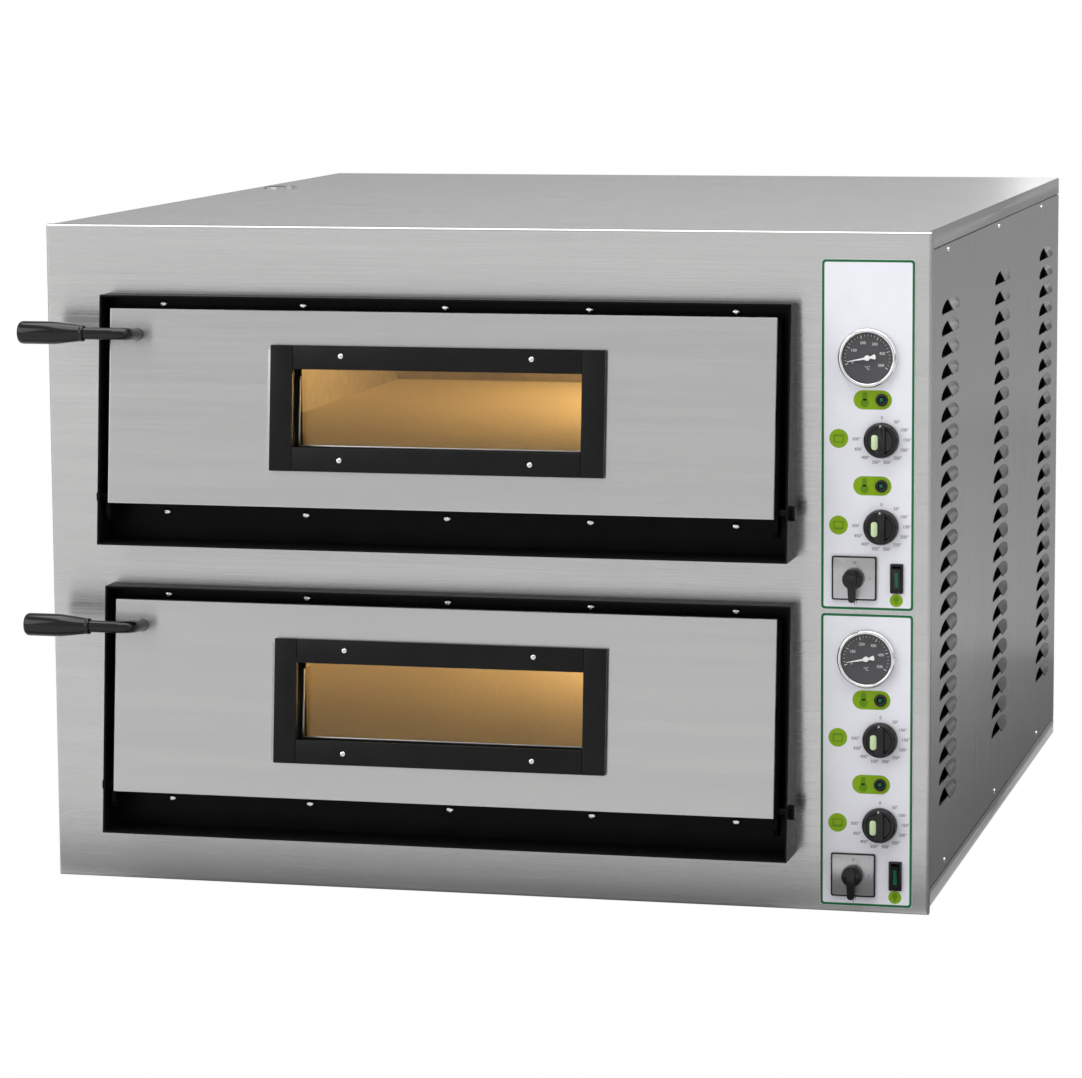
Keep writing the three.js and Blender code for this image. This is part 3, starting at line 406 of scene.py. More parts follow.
def print_text(mesh, text, size, thickness, place):
    """Adds a figure with the depth of ink, centred on place."""
    curve = bpy.data.curves.new("text", "FONT")
    curve.body = text
    curve.size = size
    curve.align_x = "CENTER"
    curve.align_y = "CENTER"
    curve.extrude = thickness / 2
    curve.resolution_u = 3
    add_curve(mesh, curve, place)


def add_curve(mesh, curve, place):
    """Turns a curve or a text into faces of the mesh."""
    holder = bpy.data.objects.new("holder", curve)
    bpy.context.scene.collection.objects.link(holder)
    bpy.context.view_layer.update()
    data = bpy.data.meshes.new_from_object(holder.evaluated_get(bpy.context.evaluated_depsgraph_get()))
    data.transform(place)
    mesh.from_mesh(data)
    bpy.data.objects.remove(holder)
    bpy.data.meshes.remove(data)


# ---------------------------------------------------------------- screws
def screw_template(radius, height):
    """A pan head with a cross recess, standing along z."""
    head = bmesh.new()
    rise = [(radius * math.cos(a), height * (0.35 + 0.65 * math.sin(a))) for a in (0.0, 0.35, 0.7, 1.05, 1.3)]
    add_lathe(head, [(0, -0.5), (radius, -0.5), *rise, (0, height)], Matrix.Identity(4), 24)
    recess = bmesh.new()
    arm = radius * 0.55
    half = radius * 0.13
    add_box(recess, (-arm, -half, height * 0.4), (arm, half, height * 2))
    cross = bmesh.new()
    add_box(cross, (-half, -arm, height * 0.4), (half, arm, height * 2))
    objects = []
    for mesh in (head, recess, cross):
        bmesh.ops.recalc_face_normals(mesh, faces=mesh.faces)
        data = bpy.data.meshes.new("screw")
        mesh.to_mesh(data)
        mesh.free()
        obj = bpy.data.objects.new("screw", data)
        bpy.context.scene.collection.objects.link(obj)
        objects.append(obj)
    for tool in objects[1:]:
        modifier = objects[0].modifiers.new("recess", "BOOLEAN")
        modifier.operation = "DIFFERENCE"
        modifier.solver = "EXACT"
        modifier.object = tool
    bpy.context.view_layer.update()
    result = bpy.data.meshes.new_from_object(objects[0].evaluated_get(bpy.context.evaluated_depsgraph_get()))
    for obj in objects:
        bpy.data.objects.remove(obj)
    return result


SCREW = {"large": screw_template(4.2, 2.6), "small": screw_template(3.1, 2.0)}
TURNS = random.Random(7)


def screws(name, size, places, body):
    """Screw heads at the places given, each turned by chance as a fitter leaves them."""
    mesh = bmesh.new()
    for place in places:
        head = SCREW[size].copy()
        head.transform(place @ Matrix.Rotation(TURNS.uniform(0, math.pi), 4, "Z"))
        mesh.from_mesh(head)
        bpy.data.meshes.remove(head)
    piece(name, mesh, "bright_steel", body, angle=40)


# ---------------------------------------------------------------- casing
CASING_NODES = {
    "fascia": "steel_x", "top_cover": "steel_top", "base_pan": "steel_x",
    "side_panel_left": "steel_side", "back_panel": "aluminised", "control_bay_wall": "aluminised",
    "insulation_wool": "wool", "vent_duct": "aluminised",
}
DECK_NODES = {
    "chamber": "chamber", "stone_floor": "stone", "surround": "enamel", "door_box": "matt_black",
    "door_skin": "door_steel", "window_glass": "glass_tinted_for_lamp_glow", "control_plate": "film",
}


def cad_finishes():
    """Gives the CAD nodes that stay in view their materials."""
    nodes = CASING_NODES | {f"{node}_{deck}": name for deck in DECKS for node, name in DECK_NODES.items()}
    for node, material in nodes.items():
        data = NODES[node].data
        data.materials.clear()
        data.materials.append(MATERIALS[material])
        data.polygons.foreach_set("use_smooth", [True] * len(data.polygons))
        data.set_sharp_from_angle(angle=math.radians(32))


def casing_screws():
    """The screws along the top and the bottom of the side panels and of the back."""
    heights = (HEIGHT - 29, 31.0)
    for side, name in ((1, "right"), (-1, "left")):
        turn = Matrix.Rotation(side * math.pi / 2, 4, "Y")
        spots = [(side * SIDE_X, y, z) for y in (-425.0, -12.0, 390.0) for z in heights]
        places = [Matrix.Translation(spot) @ turn for spot in spots]
        screws(f"screws_side_{name}", "small", places, "root")
    turn = Matrix.Rotation(-math.pi / 2, 4, "X")
    spots = [(x, BACK, z) for x in (-480.0, -240.0, 0.0, 240.0, 480.0) for z in (32.0, 718.0)]
    screws("screws_back", "small", [Matrix.Translation(spot) @ turn for spot in spots], "root")


def hole_top(y):
    """Height of a louvre's outline over its base, at a distance behind its hood's front edge."""
    share = (y - HOLE["centre"]) / HOLE["half_length"]
    return HOLE["height"] * math.sqrt(max(0.0, 1 - share * share)) - HOLE["drop"]


def louvre_outline(y, z):
    """A louvre's hole: half an ellipse over a base that is a little shorter than it."""
    middle, base = y + HOLE["centre"], z - HOLE["drop"]
    front, rear = middle - HOLE["half_length"], middle + HOLE["half_length"]
    outline = [(middle + HOLE["half_length"] * c, base + HOLE["height"] * h) for c, h in arc(25, 180, 0)]
    outline[0] = (front + 0.6, z + 1.4)
    return [*outline, (rear - 3, base - 0.6), (front + 5, base - 0.6)]


def add_hood(mesh, y, z, steps=14, rows=9):
    """A louvre's hood: a sheet that swells out behind its open front and dies away to the rear."""
    points = []
    for i in range(steps + 1):
        back = i / steps
        proud = HOOD["proud"] * math.sqrt(1 - back**2)
        top = hole_top(back * HOOD["length"]) if i < steps else 0.5
        for k in range(rows + 1):
            down = k / rows
            swell = (1 - back) * down + back * math.sin(down * math.pi / 2)
            points.append((SIDE_X - 0.2 + proud * swell, y + back * HOOD["length"], z + top * (1 - down)))
    width = rows + 1
    faces = []
    for i in range(steps):
        for k in range(rows):
            corner = i * width + k
            faces.append((corner, corner + 1, corner + 1 + width, corner + width))
    made = add(mesh, points, faces)
    bmesh.ops.recalc_face_normals(mesh, faces=made)
    outward = sum((face.normal.x for face in made), 0.0) > 0
    bmesh.ops.solidify(mesh, geom=made, thickness=1.0 if outward else -1.0)


def louvred_side():
    """The right side panel with its holes; the hoods over them, in a darker steel that is painted shade; and
    a black sheet behind each column that paints shade into the holes.
    """
    y0, z0, z1 = SIDE_SHEET["front"], SIDE_SHEET["z0"], SIDE_SHEET["z1"]
    outlines = [[(y0, z0), (BACK, z0), (BACK, z1), (y0, z1)]]
    mesh, hoods = bmesh.new(), bmesh.new()
    for y in LOUVRE["columns"]:
        for row in range(LOUVRE["count"]):
            z = LOUVRE["top"] - row * LOUVRE["pitch"]
            outlines.append(louvre_outline(y, z))
            add_hood(hoods, y, z)
    thickness = SIDE_SHEET["thickness"]
    upright = Matrix(((0, 0, 1, SIDE_X - thickness / 2), (1, 0, 0, 0), (0, 1, 0, 0), (0, 0, 0, 1)))
    print_shapes(mesh, outlines, thickness, upright)
    piece("side_right", mesh, "steel_side", "root", ["side_panel_right"], angle=40)
    # The hoods carry painted shade: a much darker steel than the sheet they are pressed from.
    piece("louvre_hoods", hoods, "hood_painted_shade", "root", angle=40)
    # Painted shade: a black sheet behind each column of louvres darkens the holes.
    mesh = bmesh.new()
    x0 = SIDE_X - SHADE_SHEET["depth"]
    for y in LOUVRE["columns"]:
        low = (x0, y - SHADE_SHEET["front"], SHADE_SHEET["z0"])
        high = (x0 + SHADE_SHEET["thickness"], y + SHADE_SHEET["rear"], SHADE_SHEET["z1"])
        add_box(mesh, low, high, rounding=0.5)
    piece("shade_sheet", mesh, "matt_black", "root")


def gland():
    """The cable gland in the back panel: a flange, a hexagon and a domed nut."""
    mesh = bmesh.new()
    place = Matrix.Translation((430.0, BACK + 0.3, 70.0)) @ Matrix.Rotation(-math.pi / 2, 4, "X")
    add_lathe(mesh, [(7.5, -12), (12, -12), (12, 0), (17, 0), (17, 3.2), (16.2, 4), (7.5, 4)], place)
    add_prism(mesh, circle(0, 0, 15, 6), 4.2, 15.5, place, 0.8)
    add_lathe(mesh, [(7.5, 15), (13, 15), (13, 17), (12, 24), (9.8, 29.6), (7.5, 30), (7.5, -12)], place)
    piece("gland_body", mesh, "nylon", "root", ["cable_gland"])


# ---------------------------------------------------------------- inside of a deck
def heating_element(name, deck, z):
    """A sheathed rod that runs to and fro across the chamber between its two terminals."""
    level = ELEMENT[name] + z
    bend = ELEMENT["pitch"] / 2
    path = [(ELEMENT["terminal_x"], ELEMENT["y0"], level)]
    for turn in range(ELEMENT["bends"]):
        side, x = (-1, ELEMENT["x0"] + bend) if turn % 2 == 0 else (1, ELEMENT["x1"] - bend)
        y = ELEMENT["y0"] + (turn + 0.5) * ELEMENT["pitch"]
        path += [(x + side * bend * c, y + bend * s, level) for c, s in arc(20, -90, 90)]
    path.append((ELEMENT["terminal_x"], ELEMENT["y1"], level))
    mesh = bmesh.new()
    add_tube(mesh, path, ELEMENT["radius"], sides=16)
    node = f"heating_element_{name}_{deck}"
    piece(f"element_{name}_{deck}", mesh, "element", "root", [node])


def oven_lamp(deck, z):
    """A glass dome in the chamber's right wall, with its socket behind it."""
    mesh = bmesh.new()
    spot = (OVEN_LAMP["x"], OVEN_LAMP["y"], OVEN_LAMP["z"] + z)
    place = Matrix.Translation(spot) @ Matrix.Rotation(-math.pi / 2, 4, "Y")
    dome = [(22 * math.cos(a), 5 + 17.6 * math.sin(a)) for a in (0.3, 0.6, 0.9, 1.2, 1.4)]
    socket = [(0, -62), (18, -62), (18, 0.5), (28, 0.5), (28, 3.2), (27, 4), (22, 5)]
    add_lathe(mesh, [*socket, *dome, (0, 22.6)], place)
    piece(f"lamp_{deck}", mesh, "lamp_glass", "root", [f"oven_lamp_{deck}"])


# ---------------------------------------------------------------- door and surround
def face_place(z):
    """The door's leaning face: x across, y into the door and z up the face, from the window's centre."""
    ahead = DOOR_TOP_AHEAD + (DOOR_TOP - WINDOW["z"]) * math.tan(DOOR_LEAN)
    return Matrix.Translation((0, FRONT - ahead, WINDOW["z"] + z)) @ Matrix.Rotation(-DOOR_LEAN, 4, "X")


def up_face(height):
    """A height over the worktop as a distance up the door's face from the window's centre."""
    return (height - WINDOW["z"]) / math.cos(DOOR_LEAN)


def window_frame(deck, face):
    """Four black bars round the window, with their screws."""
    body = f"door_{deck}"
    half_width, half_height = WINDOW["half_width"], WINDOW["half_height"]
    outer_x, outer_z = half_width + WINDOW["bar"], half_height + WINDOW["rail"]
    x, proud = WINDOW["x"], -WINDOW["proud"]
    joint = 0.25  # the gap that shows where a rail meets an upright bar
    mesh = bmesh.new()
    for x0, x1, z0, z1 in (
        (x - outer_x, x - half_width, -outer_z, outer_z),
        (x + half_width, x + outer_x, -outer_z, outer_z),
        (x - half_width + joint, x + half_width - joint, -outer_z, -half_height),
        (x - half_width + joint, x + half_width - joint, half_height, outer_z),
    ):
        add_box(mesh, (x0, proud, z0), (x1, -0.3, z1), face, 0.7, 3)
    piece(f"frame_{deck}", mesh, "frame", body, [f"window_frame_{deck}"])
    places = [face @ facing(px, proud, up_face(pz)) for px in (-147.5, 70.0) for pz in (608.5, 493.5)]
    screws(f"screws_frame_{deck}", "small", places, body)


def window_trim(deck, face):
    """A sloping steel bead at the frame's left, and steel strips at the pane's left and bottom that stand in
    for the light caught by the glass edge: a painted highlight.
    """
    body = f"door_{deck}"
    half_width, half_height = WINDOW["half_width"], WINDOW["half_height"]
    x, outer_z = WINDOW["x"], half_height + WINDOW["rail"]
    side = x - (half_width + WINDOW["bar"])
    slope = [(side - 4.6, -0.3), (side - 4.6, -0.8), (side - 0.6, -5.6)]
    slope += [(side - 0.2, -5.6), (side - 0.2, -0.3)]
    mesh = bmesh.new()
    add_prism(mesh, slope, -outer_z + 1.5, outer_z - 5, face, 0.1, 1)
    piece(f"bead_{deck}", mesh, "bright_steel", body)
    # Painted highlight: satin steel strips along the pane's left and bottom edges give the bright line that
    # the glass edge shows.
    depth = GLASS_DEPTH - 0.3
    y0, z0 = depth - 2.2, -half_height + 0.3
    left, right = x - half_width, x + half_width
    mesh = bmesh.new()
    add_box(mesh, (left + 0.3, y0, z0), (left + 2.3, depth, half_height - 8), face, 0.2)
    add_box(mesh, (left + 2.5, y0, z0), (right - 0.3, depth, -half_height + 2.3), face, 0.2)
    piece(f"pane_edge_glint_{deck}", mesh, "satin_steel", body)


def handle(deck, face):
    """A rod that comes out of the door and bends to the left, into a grip that widens outwards."""
    body = f"door_{deck}"
    x, reach, radius, grip_end = HANDLE["x"], HANDLE["reach"], HANDLE["bend"], HANDLE["grip_x1"]
    level = up_face(HANDLE["z"])
    straight = reach - radius
    bend = [(x - radius * (1 - c), -straight - radius * s, level) for c, s in arc(14, 0, 90)]
    mesh = bmesh.new()
    add_tube(mesh, [(x, 1.5, level), *bend, (grip_end - 22, -reach, level)], HANDLE["radius"], face, 28)
    piece(f"rod_{deck}", mesh, "plastic", body, [f"handle_rod_{deck}"])
    length = grip_end - HANDLE["grip_x0"]
    place = face @ Matrix.Translation((grip_end, -reach, level)) @ Matrix.Rotation(-math.pi / 2, 4, "Y")
    profile = [(7.3, 23), (7.3, 0.5), (7.8, 0), (8.6, 0), (9.1, 0.6), (9.1, 3), (8.7, 3.6), (8.9, 4.4)]
    profile += [(12.2, length * 0.4), (12.7, length * 0.48), (12.8, length * 0.56), (12.8, length - 6)]
    profile += [(12.3, length - 3.2), (10.8, length - 1.4), (8, length - 0.5), (4, length - 0.1), (0, length)]
    mesh = bmesh.new()
    add_lathe(mesh, profile, place, 56)
    piece(f"grip_{deck}", mesh, "plastic", body, [f"handle_grip_{deck}"], angle=50)


def surround_screws(deck, z):
    """Two rows of screws that hold the surround to the fascia."""
    rows = SURROUND_SCREWS
    xs = [SURROUND["x0"] + rows["inset"] + rows["pitch"] * i for i in range(rows["count"])]
    levels = (SURROUND["z1"] - rows["below_top"], SURROUND["z0"] + rows["above_base"])
    places = [facing(x, FRONT - 2.3, level + z) for x in xs for level in levels]
    screws(f"screws_surround_{deck}", "large", places, "root")


def hinge_pins(deck, z):
    """A headed pin with a nut through each cheek of the surround."""
    radius, head = HINGE["radius"], HINGE["head"]
    for side, name, cheek, tip in ((-1, "left", SURROUND["x0"], -8.5), (1, "right", SURROUND["x1"], -16.5)):
        spot = (cheek, FRONT - HINGE["ahead"], HINGE["z"] + z)
        place = Matrix.Translation(spot) @ Matrix.Rotation(side * math.pi / 2, 4, "Y")
        shank = [(0, tip), (4.4, tip), (radius, tip + 0.6), (radius, 0.3)]
        mesh = bmesh.new()
        add_lathe(mesh, [*shank, (head, 0.3), (head, 1.3), (0, 1.3)], place, 40)
        add_prism(mesh, circle(0, 0, HINGE["nut"], 6), 1.3, 5.3, place, 0.7)
        piece(f"hinge_{name}_{deck}", mesh, "enamel", "root", [f"hinge_pin_{name}_{deck}"])


# ---------------------------------------------------------------- controls
def on_plate(x, z, height=0.0):
    """A place on the control plates' face, or at a height over it."""
    return facing(x, PLATE_FACE - height, z)


def print_row(lime, olive, grey, row, z):
    """A row's prints: the field round its lamp, the scale round its knob and the symbol beside it."""
    place = on_plate(0, z)
    lamp_z, knob_z = ROWS[row]
    print_shapes(lime, [rounded_rectangle(420.3, 462.3, lamp_z - 10.5, lamp_z + 10.5, 10.4)], INK, place)
    tube = rounded_rectangle(429.9, 435.3, lamp_z - 1, lamp_z + 8.3, 2.6)
    for shape in (tube, circle(432.6, lamp_z - 3.6, 4.7)):
        print_shapes(olive, [shape], INK * 2, place)
    for k in range(10):
        angle = math.radians(36.5 + 26.1 * k)
        label = on_plate(KNOB_X + 27.9 * math.sin(angle), knob_z + 25.0 * math.cos(angle) + z)
        print_text(grey, f"{50 * (k + 1)}°", 4.9, INK, label)
    print_text(grey, "0", 4.9, INK, on_plate(KNOB_X, knob_z + 24.4 + z))
    icon_x, icon_z = 404.2, knob_z + 1.0
    print_shapes(lime, [circle(icon_x, icon_z, 10.4)], INK, place)
    box = [
        rounded_rectangle(icon_x - 5.7, icon_x + 5.7, icon_z - 4.8, icon_z + 4.4, 1.4),
        rounded_rectangle(icon_x - 4.3, icon_x + 4.3, icon_z - 3.5, icon_z + 3.1, 0.7),
    ]
    print_shapes(olive, box, INK * 2, place)
    bar_z = icon_z + 3.4 if row == "top" else icon_z - 3.4
    for i in range(3):
        print_shapes(olive, [circle(icon_x - 3 + 3 * i, bar_z, 1.3, 16)], INK * 3, place)


def control_prints(deck, z):
    """The prints of a control plate, one piece for each colour of ink."""
    green, lime, olive, grey = (bmesh.new() for _ in range(4))
    place = on_plate(0, z)
    x0, x1, z0, z1 = PLATE["x0"] + 0.3, PLATE["x1"] - 0.3, PLATE["z0"] + 0.3, PLATE["top"][deck] - 0.3
    border = [
        rounded_rectangle(x0, x1, z0, z1, 4.0),
        rounded_rectangle(x0 + 2.7, x1 - 2.7, z0 + 2.7, z1 - 2.7, 2.2),
    ]
    print_shapes(green, border, INK, place)
    for row in ROWS:
        print_row(lime, olive, grey, row, z)
    print_shapes(lime, [circle(468.2, 348.9, 7.2)], INK, place)
    print_shapes(olive, [circle(468.2, 350.1, 3.1, 24)], INK * 2, place)
    print_shapes(olive, [rounded_rectangle(466.8, 469.6, 344.6, 347.2, 0.5)], INK * 2, place)
    for name, mesh, material in (
        ("border", green, "print_green"), ("lime", lime, "print_lime"),
        ("icons", olive, "print_olive"), ("figures", grey, "print_grey"),
    ):
        piece(f"print_{name}_{deck}", mesh, material, "root", angle=60)


def thermometer(deck, z):
    """A dial in a bright bezel."""
    x, level = DIAL[0], DIAL[1] + z
    bezel = [(27.4, 3.4), (27.6, 6.0), (28.3, 7.2), (29.4, 7.6), (30.8, 7.2), (32.0, 5.8), (32.6, 4)]
    mesh = bmesh.new()
    add_lathe(mesh, [*bezel, (32.8, 0.3), (28, 0.3), (27.4, 3.4)], on_plate(x, level), 72)
    piece(f"bezel_{deck}", mesh, "bright_steel", "root", angle=60)
    can = [(1.2, 3.5), (27.5, 3.5), (27.5, 0.4), (28, 0.2), (28, -19.5), (27.5, -20), (1.2, -20), (1.2, 3.5)]
    mesh = bmesh.new()
    add_lathe(mesh, can, on_plate(x, level), 64)
    piece(f"dial_{deck}", mesh, "dial", "root", [f"thermometer_case_{deck}"], angle=30)


def dial_marks(deck, z):
    """The scale of a thermometer, from 0 to 500 degrees, with a figure at every fifth mark."""
    x, level = DIAL[0], DIAL[1] + z
    face = 3.5
    marks = bmesh.new()
    for k in range(26):
        angle = math.radians(197 - 9 * k)
        numbered = k % 5 == 0
        inner, half = (22.0, 0.32) if numbered else (23.6, 0.18)
        place = on_plate(x, level, face) @ Matrix.Rotation(angle, 4, "Z")
        print_shapes(marks, [[(inner, -half), (25.4, -half), (25.4, half), (inner, half)]], INK, place)
        if numbered:
            label = on_plate(x + 17.0 * math.cos(angle), level + 17.0 * math.sin(angle), face)
            print_text(marks, str(20 * k), 4.4, INK, label)
    print_text(marks, "°C", 5.2, INK, on_plate(x, level - 11.0, face))
    piece(f"dial_marks_{deck}", marks, "print_white", "root", angle=60)


def needle(deck, z):
    """A thermometer's needle, with its spade-shaped tail and its spindle."""
    tilt = on_plate(DIAL[0], DIAL[1] + z) @ Matrix.Rotation(math.radians(11), 4, "Z")
    lower = [(-22.5, -0.25), (-4, -0.95), (-1.5, -2.6), (1.5, -2.2), (3.5, -1.0), (8.6, -3.0)]
    upper = [(x, -y) for x, y in reversed(lower)]
    mesh = bmesh.new()
    add_prism(mesh, [*lower, (9.6, 0), *upper], 4.4, 5.2, tilt, 0.12, 1)
    add_lathe(mesh, [(0, -3.9), (0.8, -3.9), (0.8, 4.3), (3, 4.3), (3, 5.2), (2.6, 5.7), (0, 5.9)], tilt, 32)
    piece(f"needle_{deck}", mesh, "needle", f"needle_{deck}", [f"thermometer_needle_{deck}"])


def knob(row, deck, z):
    """A thermostat knob: a round skirt with a bar across it, a pointer mark and a pale-green pill on its
    face.
    """
    body = f"knob_{row}_{deck}"
    place = on_plate(KNOB_X, ROWS[row][1] + z)
    profile = [(0, -14), (3, -14), (3, 0.8), (19.2, 0.8), (19.5, 1.2), (19.5, 4.6), (19.1, 5.4), (18.5, 9.2)]
    profile += [(17.8, 10.6), (16.6, 11.2), (14.4, 11.2), (13.8, 10.8), (13.2, 10.2), (0, 10.0)]
    mesh = bmesh.new()
    add_lathe(mesh, profile, place, 64)
    add_prism(mesh, rounded_rectangle(-1.6, 5.6, -16.0, 16.0, 3.4), 9.6, 15.9, place, 1.6, 4)
    node = f"thermostat_knob_{row}_{deck}"
    piece(f"thermostat_{row}_{deck}", mesh, "plastic", body, [node], angle=40)
    mesh = bmesh.new()
    pointer = [(-1.5, 15.0), (1.5, 15.0), (0, 17.9)]
    print_shapes(mesh, [pointer], 0.3, place @ Matrix.Translation((0, 0, 11.2)))
    piece(f"mark_{row}_{deck}", mesh, "print_white", body)
    mesh = bmesh.new()
    # A pale-green pill on the face, left of the bar.
    add_prism(mesh, rounded_rectangle(-9.6, -2.6, -9.6, 6.6, 2.8), 10.0, 11.6, place, 0.4, 3)
    piece(f"pale_pill_{row}_{deck}", mesh, "pale_green", body)


def pilot_lamp(row, deck, z):
    """A green lens in a black ring."""
    place = on_plate(KNOB_X, ROWS[row][0] + z)
    ring = [(3.0, -16), (4.7, -16), (4.7, 0.3), (6.8, 0.3), (6.8, 2.2), (6.3, 3.2), (5.1, 3.8)]
    mesh = bmesh.new()
    add_lathe(mesh, [*ring, (3.7, 3.2), (3.0, 1.8), (3.0, -16)], place, 40)
    piece(f"lamp_ring_{row}_{deck}", mesh, "plastic", "root", angle=50)
    lens = [(0, -15), (2.9, -15), (2.9, 2.0), (2.3, 3.0), (1.4, 3.6), (0, 3.8)]
    mesh = bmesh.new()
    add_lathe(mesh, lens, place, 32)
    node = f"pilot_lamp_{row}_{deck}"
    piece(f"lamp_lens_{row}_{deck}", mesh, "green_lens", "root", [node], angle=60)


def power_switch(deck, z):
    """The rotary switch: a steel face in a black rim, and a lever on a hub."""
    place = on_plate(SWITCH[0], SWITCH[1] + z)
    mesh = bmesh.new()
    add_prism(mesh, rounded_rectangle(-22.9, 22.9, -22.5, 22.5, 1.2), 0.6, 2.9, place, 0.3)
    piece(f"switch_face_{deck}", mesh, "satin_steel", "root", [f"switch_plate_{deck}"])
    rim = [
        rounded_rectangle(-24.7, 24.7, -24.2, 24.2, 2.2),
        rounded_rectangle(-22.95, 22.95, -22.55, 22.55, 1.2),
    ]
    mesh = bmesh.new()
    print_shapes(mesh, rim, 2.3, place @ Matrix.Translation((0, 0, 1.45)))
    for text, x, y in (("0", 0.5, 17.0), ("1", 17.5, 0.0)):
        print_text(mesh, text, 5.0, INK, place @ Matrix.Translation((x, y, 2.9)))
    piece(f"switch_rim_{deck}", mesh, "plastic", "root", angle=60)
    hub = [(0, -14), (3.5, -14), (3.5, 3.2), (11.7, 3.2), (12, 3.6), (11.6, 13), (10.6, 15.2)]
    hub += [(8.6, 16), (0, 16)]
    mesh = bmesh.new()
    add_lathe(mesh, hub, place, 48)
    round_top = arc(10, 180, 0, 5.4, (0, 4))[1:-1]
    round_tip = arc(8, 0, -180, 4.3, (0, -20.7))[:-1]
    lever = [(-5.4, 4), *round_top, (5.4, 4), (4.3, -22), *round_tip]
    add_prism(mesh, lever, 8, 19.8, place, 0.9, 3)
    body = f"lever_{deck}"
    piece(f"lever_{deck}", mesh, "plastic", body, [f"switch_lever_{deck}"], angle=40)


def light_switch(deck, z):
    """The rocker of the light, with a green lens, in its bezel."""
    place = on_plate(ROCKER[0], ROCKER[1] + z)
    opening = rounded_rectangle(-4.9, 4.9, -13.9, 13.9, 0.8)
    rim = [rounded_rectangle(-7.2, 7.2, -16.3, 16.3, 1.4), opening]
    wall = [rounded_rectangle(-6.2, 6.2, -15.2, 15.2, 1.0), opening]
    mesh = bmesh.new()
    print_shapes(mesh, rim, 2.0, place @ Matrix.Translation((0, 0, 1.3)))
    print_shapes(mesh, wall, 18.0, place @ Matrix.Translation((0, 0, -9.0)))
    piece(f"rocker_rim_{deck}", mesh, "plastic", "root", [f"rocker_bezel_{deck}"], angle=60)
    tilt = facing(ROCKER[0], PLATE_FACE + 2, ROCKER[1] + z) @ Matrix.Rotation(math.radians(8), 4, "X")
    turn = tilt @ Matrix(((0, 0, 1, 0), (0, 1, 0, 0), (1, 0, 0, 0), (0, 0, 0, 1)))
    side = [(0, -12.4), (6.7, -12.4), (5, 0), (6.7, 12.4), (0, 12.4), (-4, 0)]
    body = f"rocker_{deck}"
    mesh = bmesh.new()
    add_prism(mesh, side, -4.5, 4.5, turn, 0.4, 2)
    piece(f"rocker_{deck}", mesh, "plastic", body, [f"light_rocker_{deck}"], angle=25)
    lens = [(5.5, -8.5), (6.6, -8.5), (5.45, 0), (6.6, 8.5), (5.5, 8.5), (4.6, 0)]
    mesh = bmesh.new()
    add_prism(mesh, lens, -1.9, 1.9, turn, 0.25, 2)
    piece(f"rocker_lens_{deck}", mesh, "green_lens", body, angle=25)


def build_deck(deck, z):
    """Everything of one deck, at its height over the upper one."""
    for name in ("top", "bottom"):
        heating_element(name, deck, z)
    oven_lamp(deck, z)
    face = face_place(z)
    window_frame(deck, face)
    window_trim(deck, face)
    handle(deck, face)
    surround_screws(deck, z)
    hinge_pins(deck, z)
    control_prints(deck, z)
    thermometer(deck, z)
    dial_marks(deck, z)
    needle(deck, z)
    for row in ROWS:
        knob(row, deck, z)
        pilot_lamp(row, deck, z)
    power_switch(deck, z)
    light_switch(deck, z)


cad_finishes()
casing_screws()
louvred_side()
gland()
for deck_name, deck_z in DECKS.items():
    build_deck(deck_name, deck_z)


# ---------------------------------------------------------------- studio
FRONT_WALL, REAR_WALL = 0.66, 0.38  # how brightly the room is lit ahead of the oven and behind it


def area_light(name, location, target, width, height, power):
    """A white rectangular lamp that points at the target."""
    data = bpy.data.lights.new(name, "AREA")
    data.shape = "RECTANGLE"
    data.size, data.size_y = width, height
    data.energy = power
    obj = bpy.data.objects.new(name, data)
    bpy.context.scene.collection.objects.link(obj)
    obj.location = location
    obj.rotation_mode = "QUATERNION"
    obj.rotation_quaternion = (Vector(target) - Vector(location)).to_track_quat("-Z", "Y")
    return obj


def dark_card(name, x0, x1, y0, y1, grey):
    """A dark card on the floor, which the camera doesn't see and the steel reflects."""
    felt = bpy.data.meshes.new(name)
    felt.from_pydata([(x0, y0, 0), (x1, y0, 0), (x1, y1, 0), (x0, y1, 0)], [], [(0, 1, 2, 3)])
    obj = bpy.data.objects.new(name, felt)
    bpy.context.scene.collection.objects.link(obj)
    felt.materials.append(painted(name, (grey, grey, grey), 0.9, 0.05, 300.0, 0.02))
    obj.visible_camera = False


def camera_switch(tree, seen, otherwise, output):
    """Sends one shader to the camera and another to every other ray."""
    path, mix = tree.nodes.new("ShaderNodeLightPath"), tree.nodes.new("ShaderNodeMixShader")
    tree.links.new(path.outputs["Is Camera Ray"], mix.inputs["Fac"])
    tree.links.new(otherwise, mix.inputs[1])
    tree.links.new(seen, mix.inputs[2])
    tree.links.new(mix.outputs["Shader"], tree.nodes[output].inputs["Surface"])


def paper_floor():
    """A pale floor that the camera sees as plain white."""
    reach, level = 30, -0.001
    corners = [(x, y, level) for x, y in ((-reach, -reach), (reach, -reach), (reach, reach), (-reach, reach))]
    data = bpy.data.meshes.new("floor")
    data.from_pydata(corners, [], [(0, 1, 2, 3)])
    obj = bpy.data.objects.new("floor", data)
    bpy.context.scene.collection.objects.link(obj)
    material = painted("floor_paper", (0.6, 0.6, 0.6), 0.9, 0.01, 300.0, 0.02)
    tree = material.node_tree
    white = tree.nodes.new("ShaderNodeEmission").outputs["Emission"]
    camera_switch(tree, white, tree.nodes["Principled BSDF"].outputs["BSDF"], "Material Output")
    data.materials.append(material)


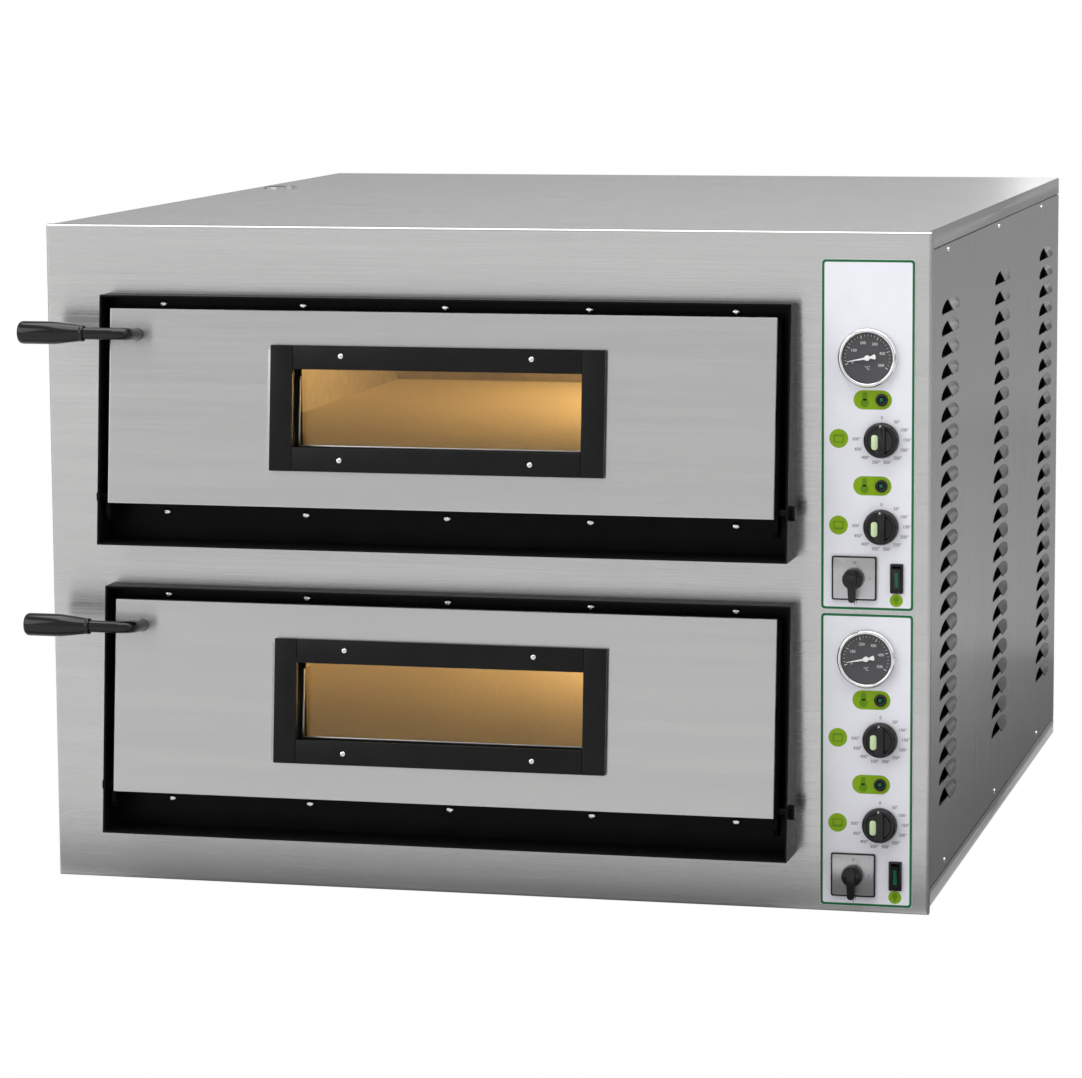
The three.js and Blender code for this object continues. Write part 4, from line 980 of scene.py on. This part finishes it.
def room():
    """A room that is lighter ahead of the oven than behind it, and plain white to the camera."""
    world = bpy.data.worlds.new("studio")
    bpy.context.scene.world = world
    world.use_nodes = True
    nodes, links = world.node_tree.nodes, world.node_tree.links
    walls, backdrop = nodes["Background"], nodes.new("ShaderNodeBackground")
    walls.inputs["Color"].default_value = (1, 1, 1, 1)
    backdrop.inputs["Color"].default_value = (1, 1, 1, 1)
    direction, split = nodes.new("ShaderNodeTexCoord"), nodes.new("ShaderNodeSeparateXYZ")
    fade = nodes.new("ShaderNodeMapRange")
    fade.inputs["From Min"].default_value = -1.0
    fade.inputs["From Max"].default_value = 1.0
    fade.inputs["To Min"].default_value = FRONT_WALL
    fade.inputs["To Max"].default_value = REAR_WALL
    links.new(direction.outputs["Generated"], split.inputs["Vector"])
    links.new(split.outputs["Y"], fade.inputs["Value"])
    links.new(fade.outputs["Result"], walls.inputs["Strength"])
    white, lit = backdrop.outputs["Background"], walls.outputs["Background"]
    camera_switch(world.node_tree, white, lit, "World Output")


def oven_bulb(z):
    """The warm light of a deck's lamp, inside the chamber."""
    bulb = bpy.data.lights.new("oven_bulb", "POINT")
    bulb.energy = 12.0
    bulb.color = (1.0, 0.86, 0.66)
    bulb.shadow_soft_size = 0.02
    obj = bpy.data.objects.new("oven_bulb", bulb)
    bpy.context.scene.collection.objects.link(obj)
    obj.location = (0.27, OVEN_LAMP["y"] * MM, (OVEN_LAMP["z"] + z) * MM)


def studio():
    """The floor, the room, the cards and the lamps."""
    paper_floor()
    room()
    dark_card("card_right", 0.51, 1.3, -0.9, 1.2, 0.12)
    dark_card("card_rear", 0.51, 2.6, 1.2, 4.5, 0.3)
    dark_card("card_front", -0.9, 0.5, -0.76, -0.6, 0.2)
    area_light("softbox_top", (0.2, -0.4, 3.6), (0, 0, 0.4), 4.0, 4.0, 170.0)
    area_light("softbox_left", (-4.2, -3.4, 2.6), (0, 0, 0.4), 4.6, 3.6, 110.0)
    area_light("softbox_right", (3.8, -1.2, 2.4), (0.3, 0, 0.4), 2.4, 3.0, 22.0)
    area_light("softbox_rear", (1.5, 4.0, 1.7), (0.2, 0, 0.75), 3.4, 1.4, 17.0)
    floor_lamp = area_light("floor_front", (-2.0, -9.0, 0.01), (-2.0, -9.0, 3.0), 8.0, 9.0, 240.0)
    floor_lamp.visible_camera = False
    for z in DECKS.values():
        oven_bulb(z)


def camera():
    """The camera of a tall tripod, in front and to the right, looking a little down."""
    yaw, pitch, roll = 0.242, 0.1351, -0.0062
    level = math.cos(pitch)
    forward = Vector((-math.sin(yaw) * level, math.cos(yaw) * level, -math.sin(pitch)))
    right = Vector((math.cos(yaw), math.sin(yaw), 0))
    up = right.cross(forward)
    turned_right = right * math.cos(roll) + up * math.sin(roll)
    turned_up = up * math.cos(roll) - right * math.sin(roll)
    data = bpy.data.cameras.new("camera")
    data.sensor_width = 36.0
    data.lens = 142.565
    data.clip_start, data.clip_end = 0.1, 100.0
    obj = bpy.data.objects.new("camera", data)
    bpy.context.scene.collection.objects.link(obj)
    rotation = Matrix((turned_right, turned_up, -forward)).transposed()
    obj.matrix_world = Matrix.Translation((1.1987, -5.1487, 1.0462)) @ rotation.to_4x4()
    bpy.context.scene.camera = obj


studio()
camera()
bpy.context.scene.view_settings.view_transform = "Standard"
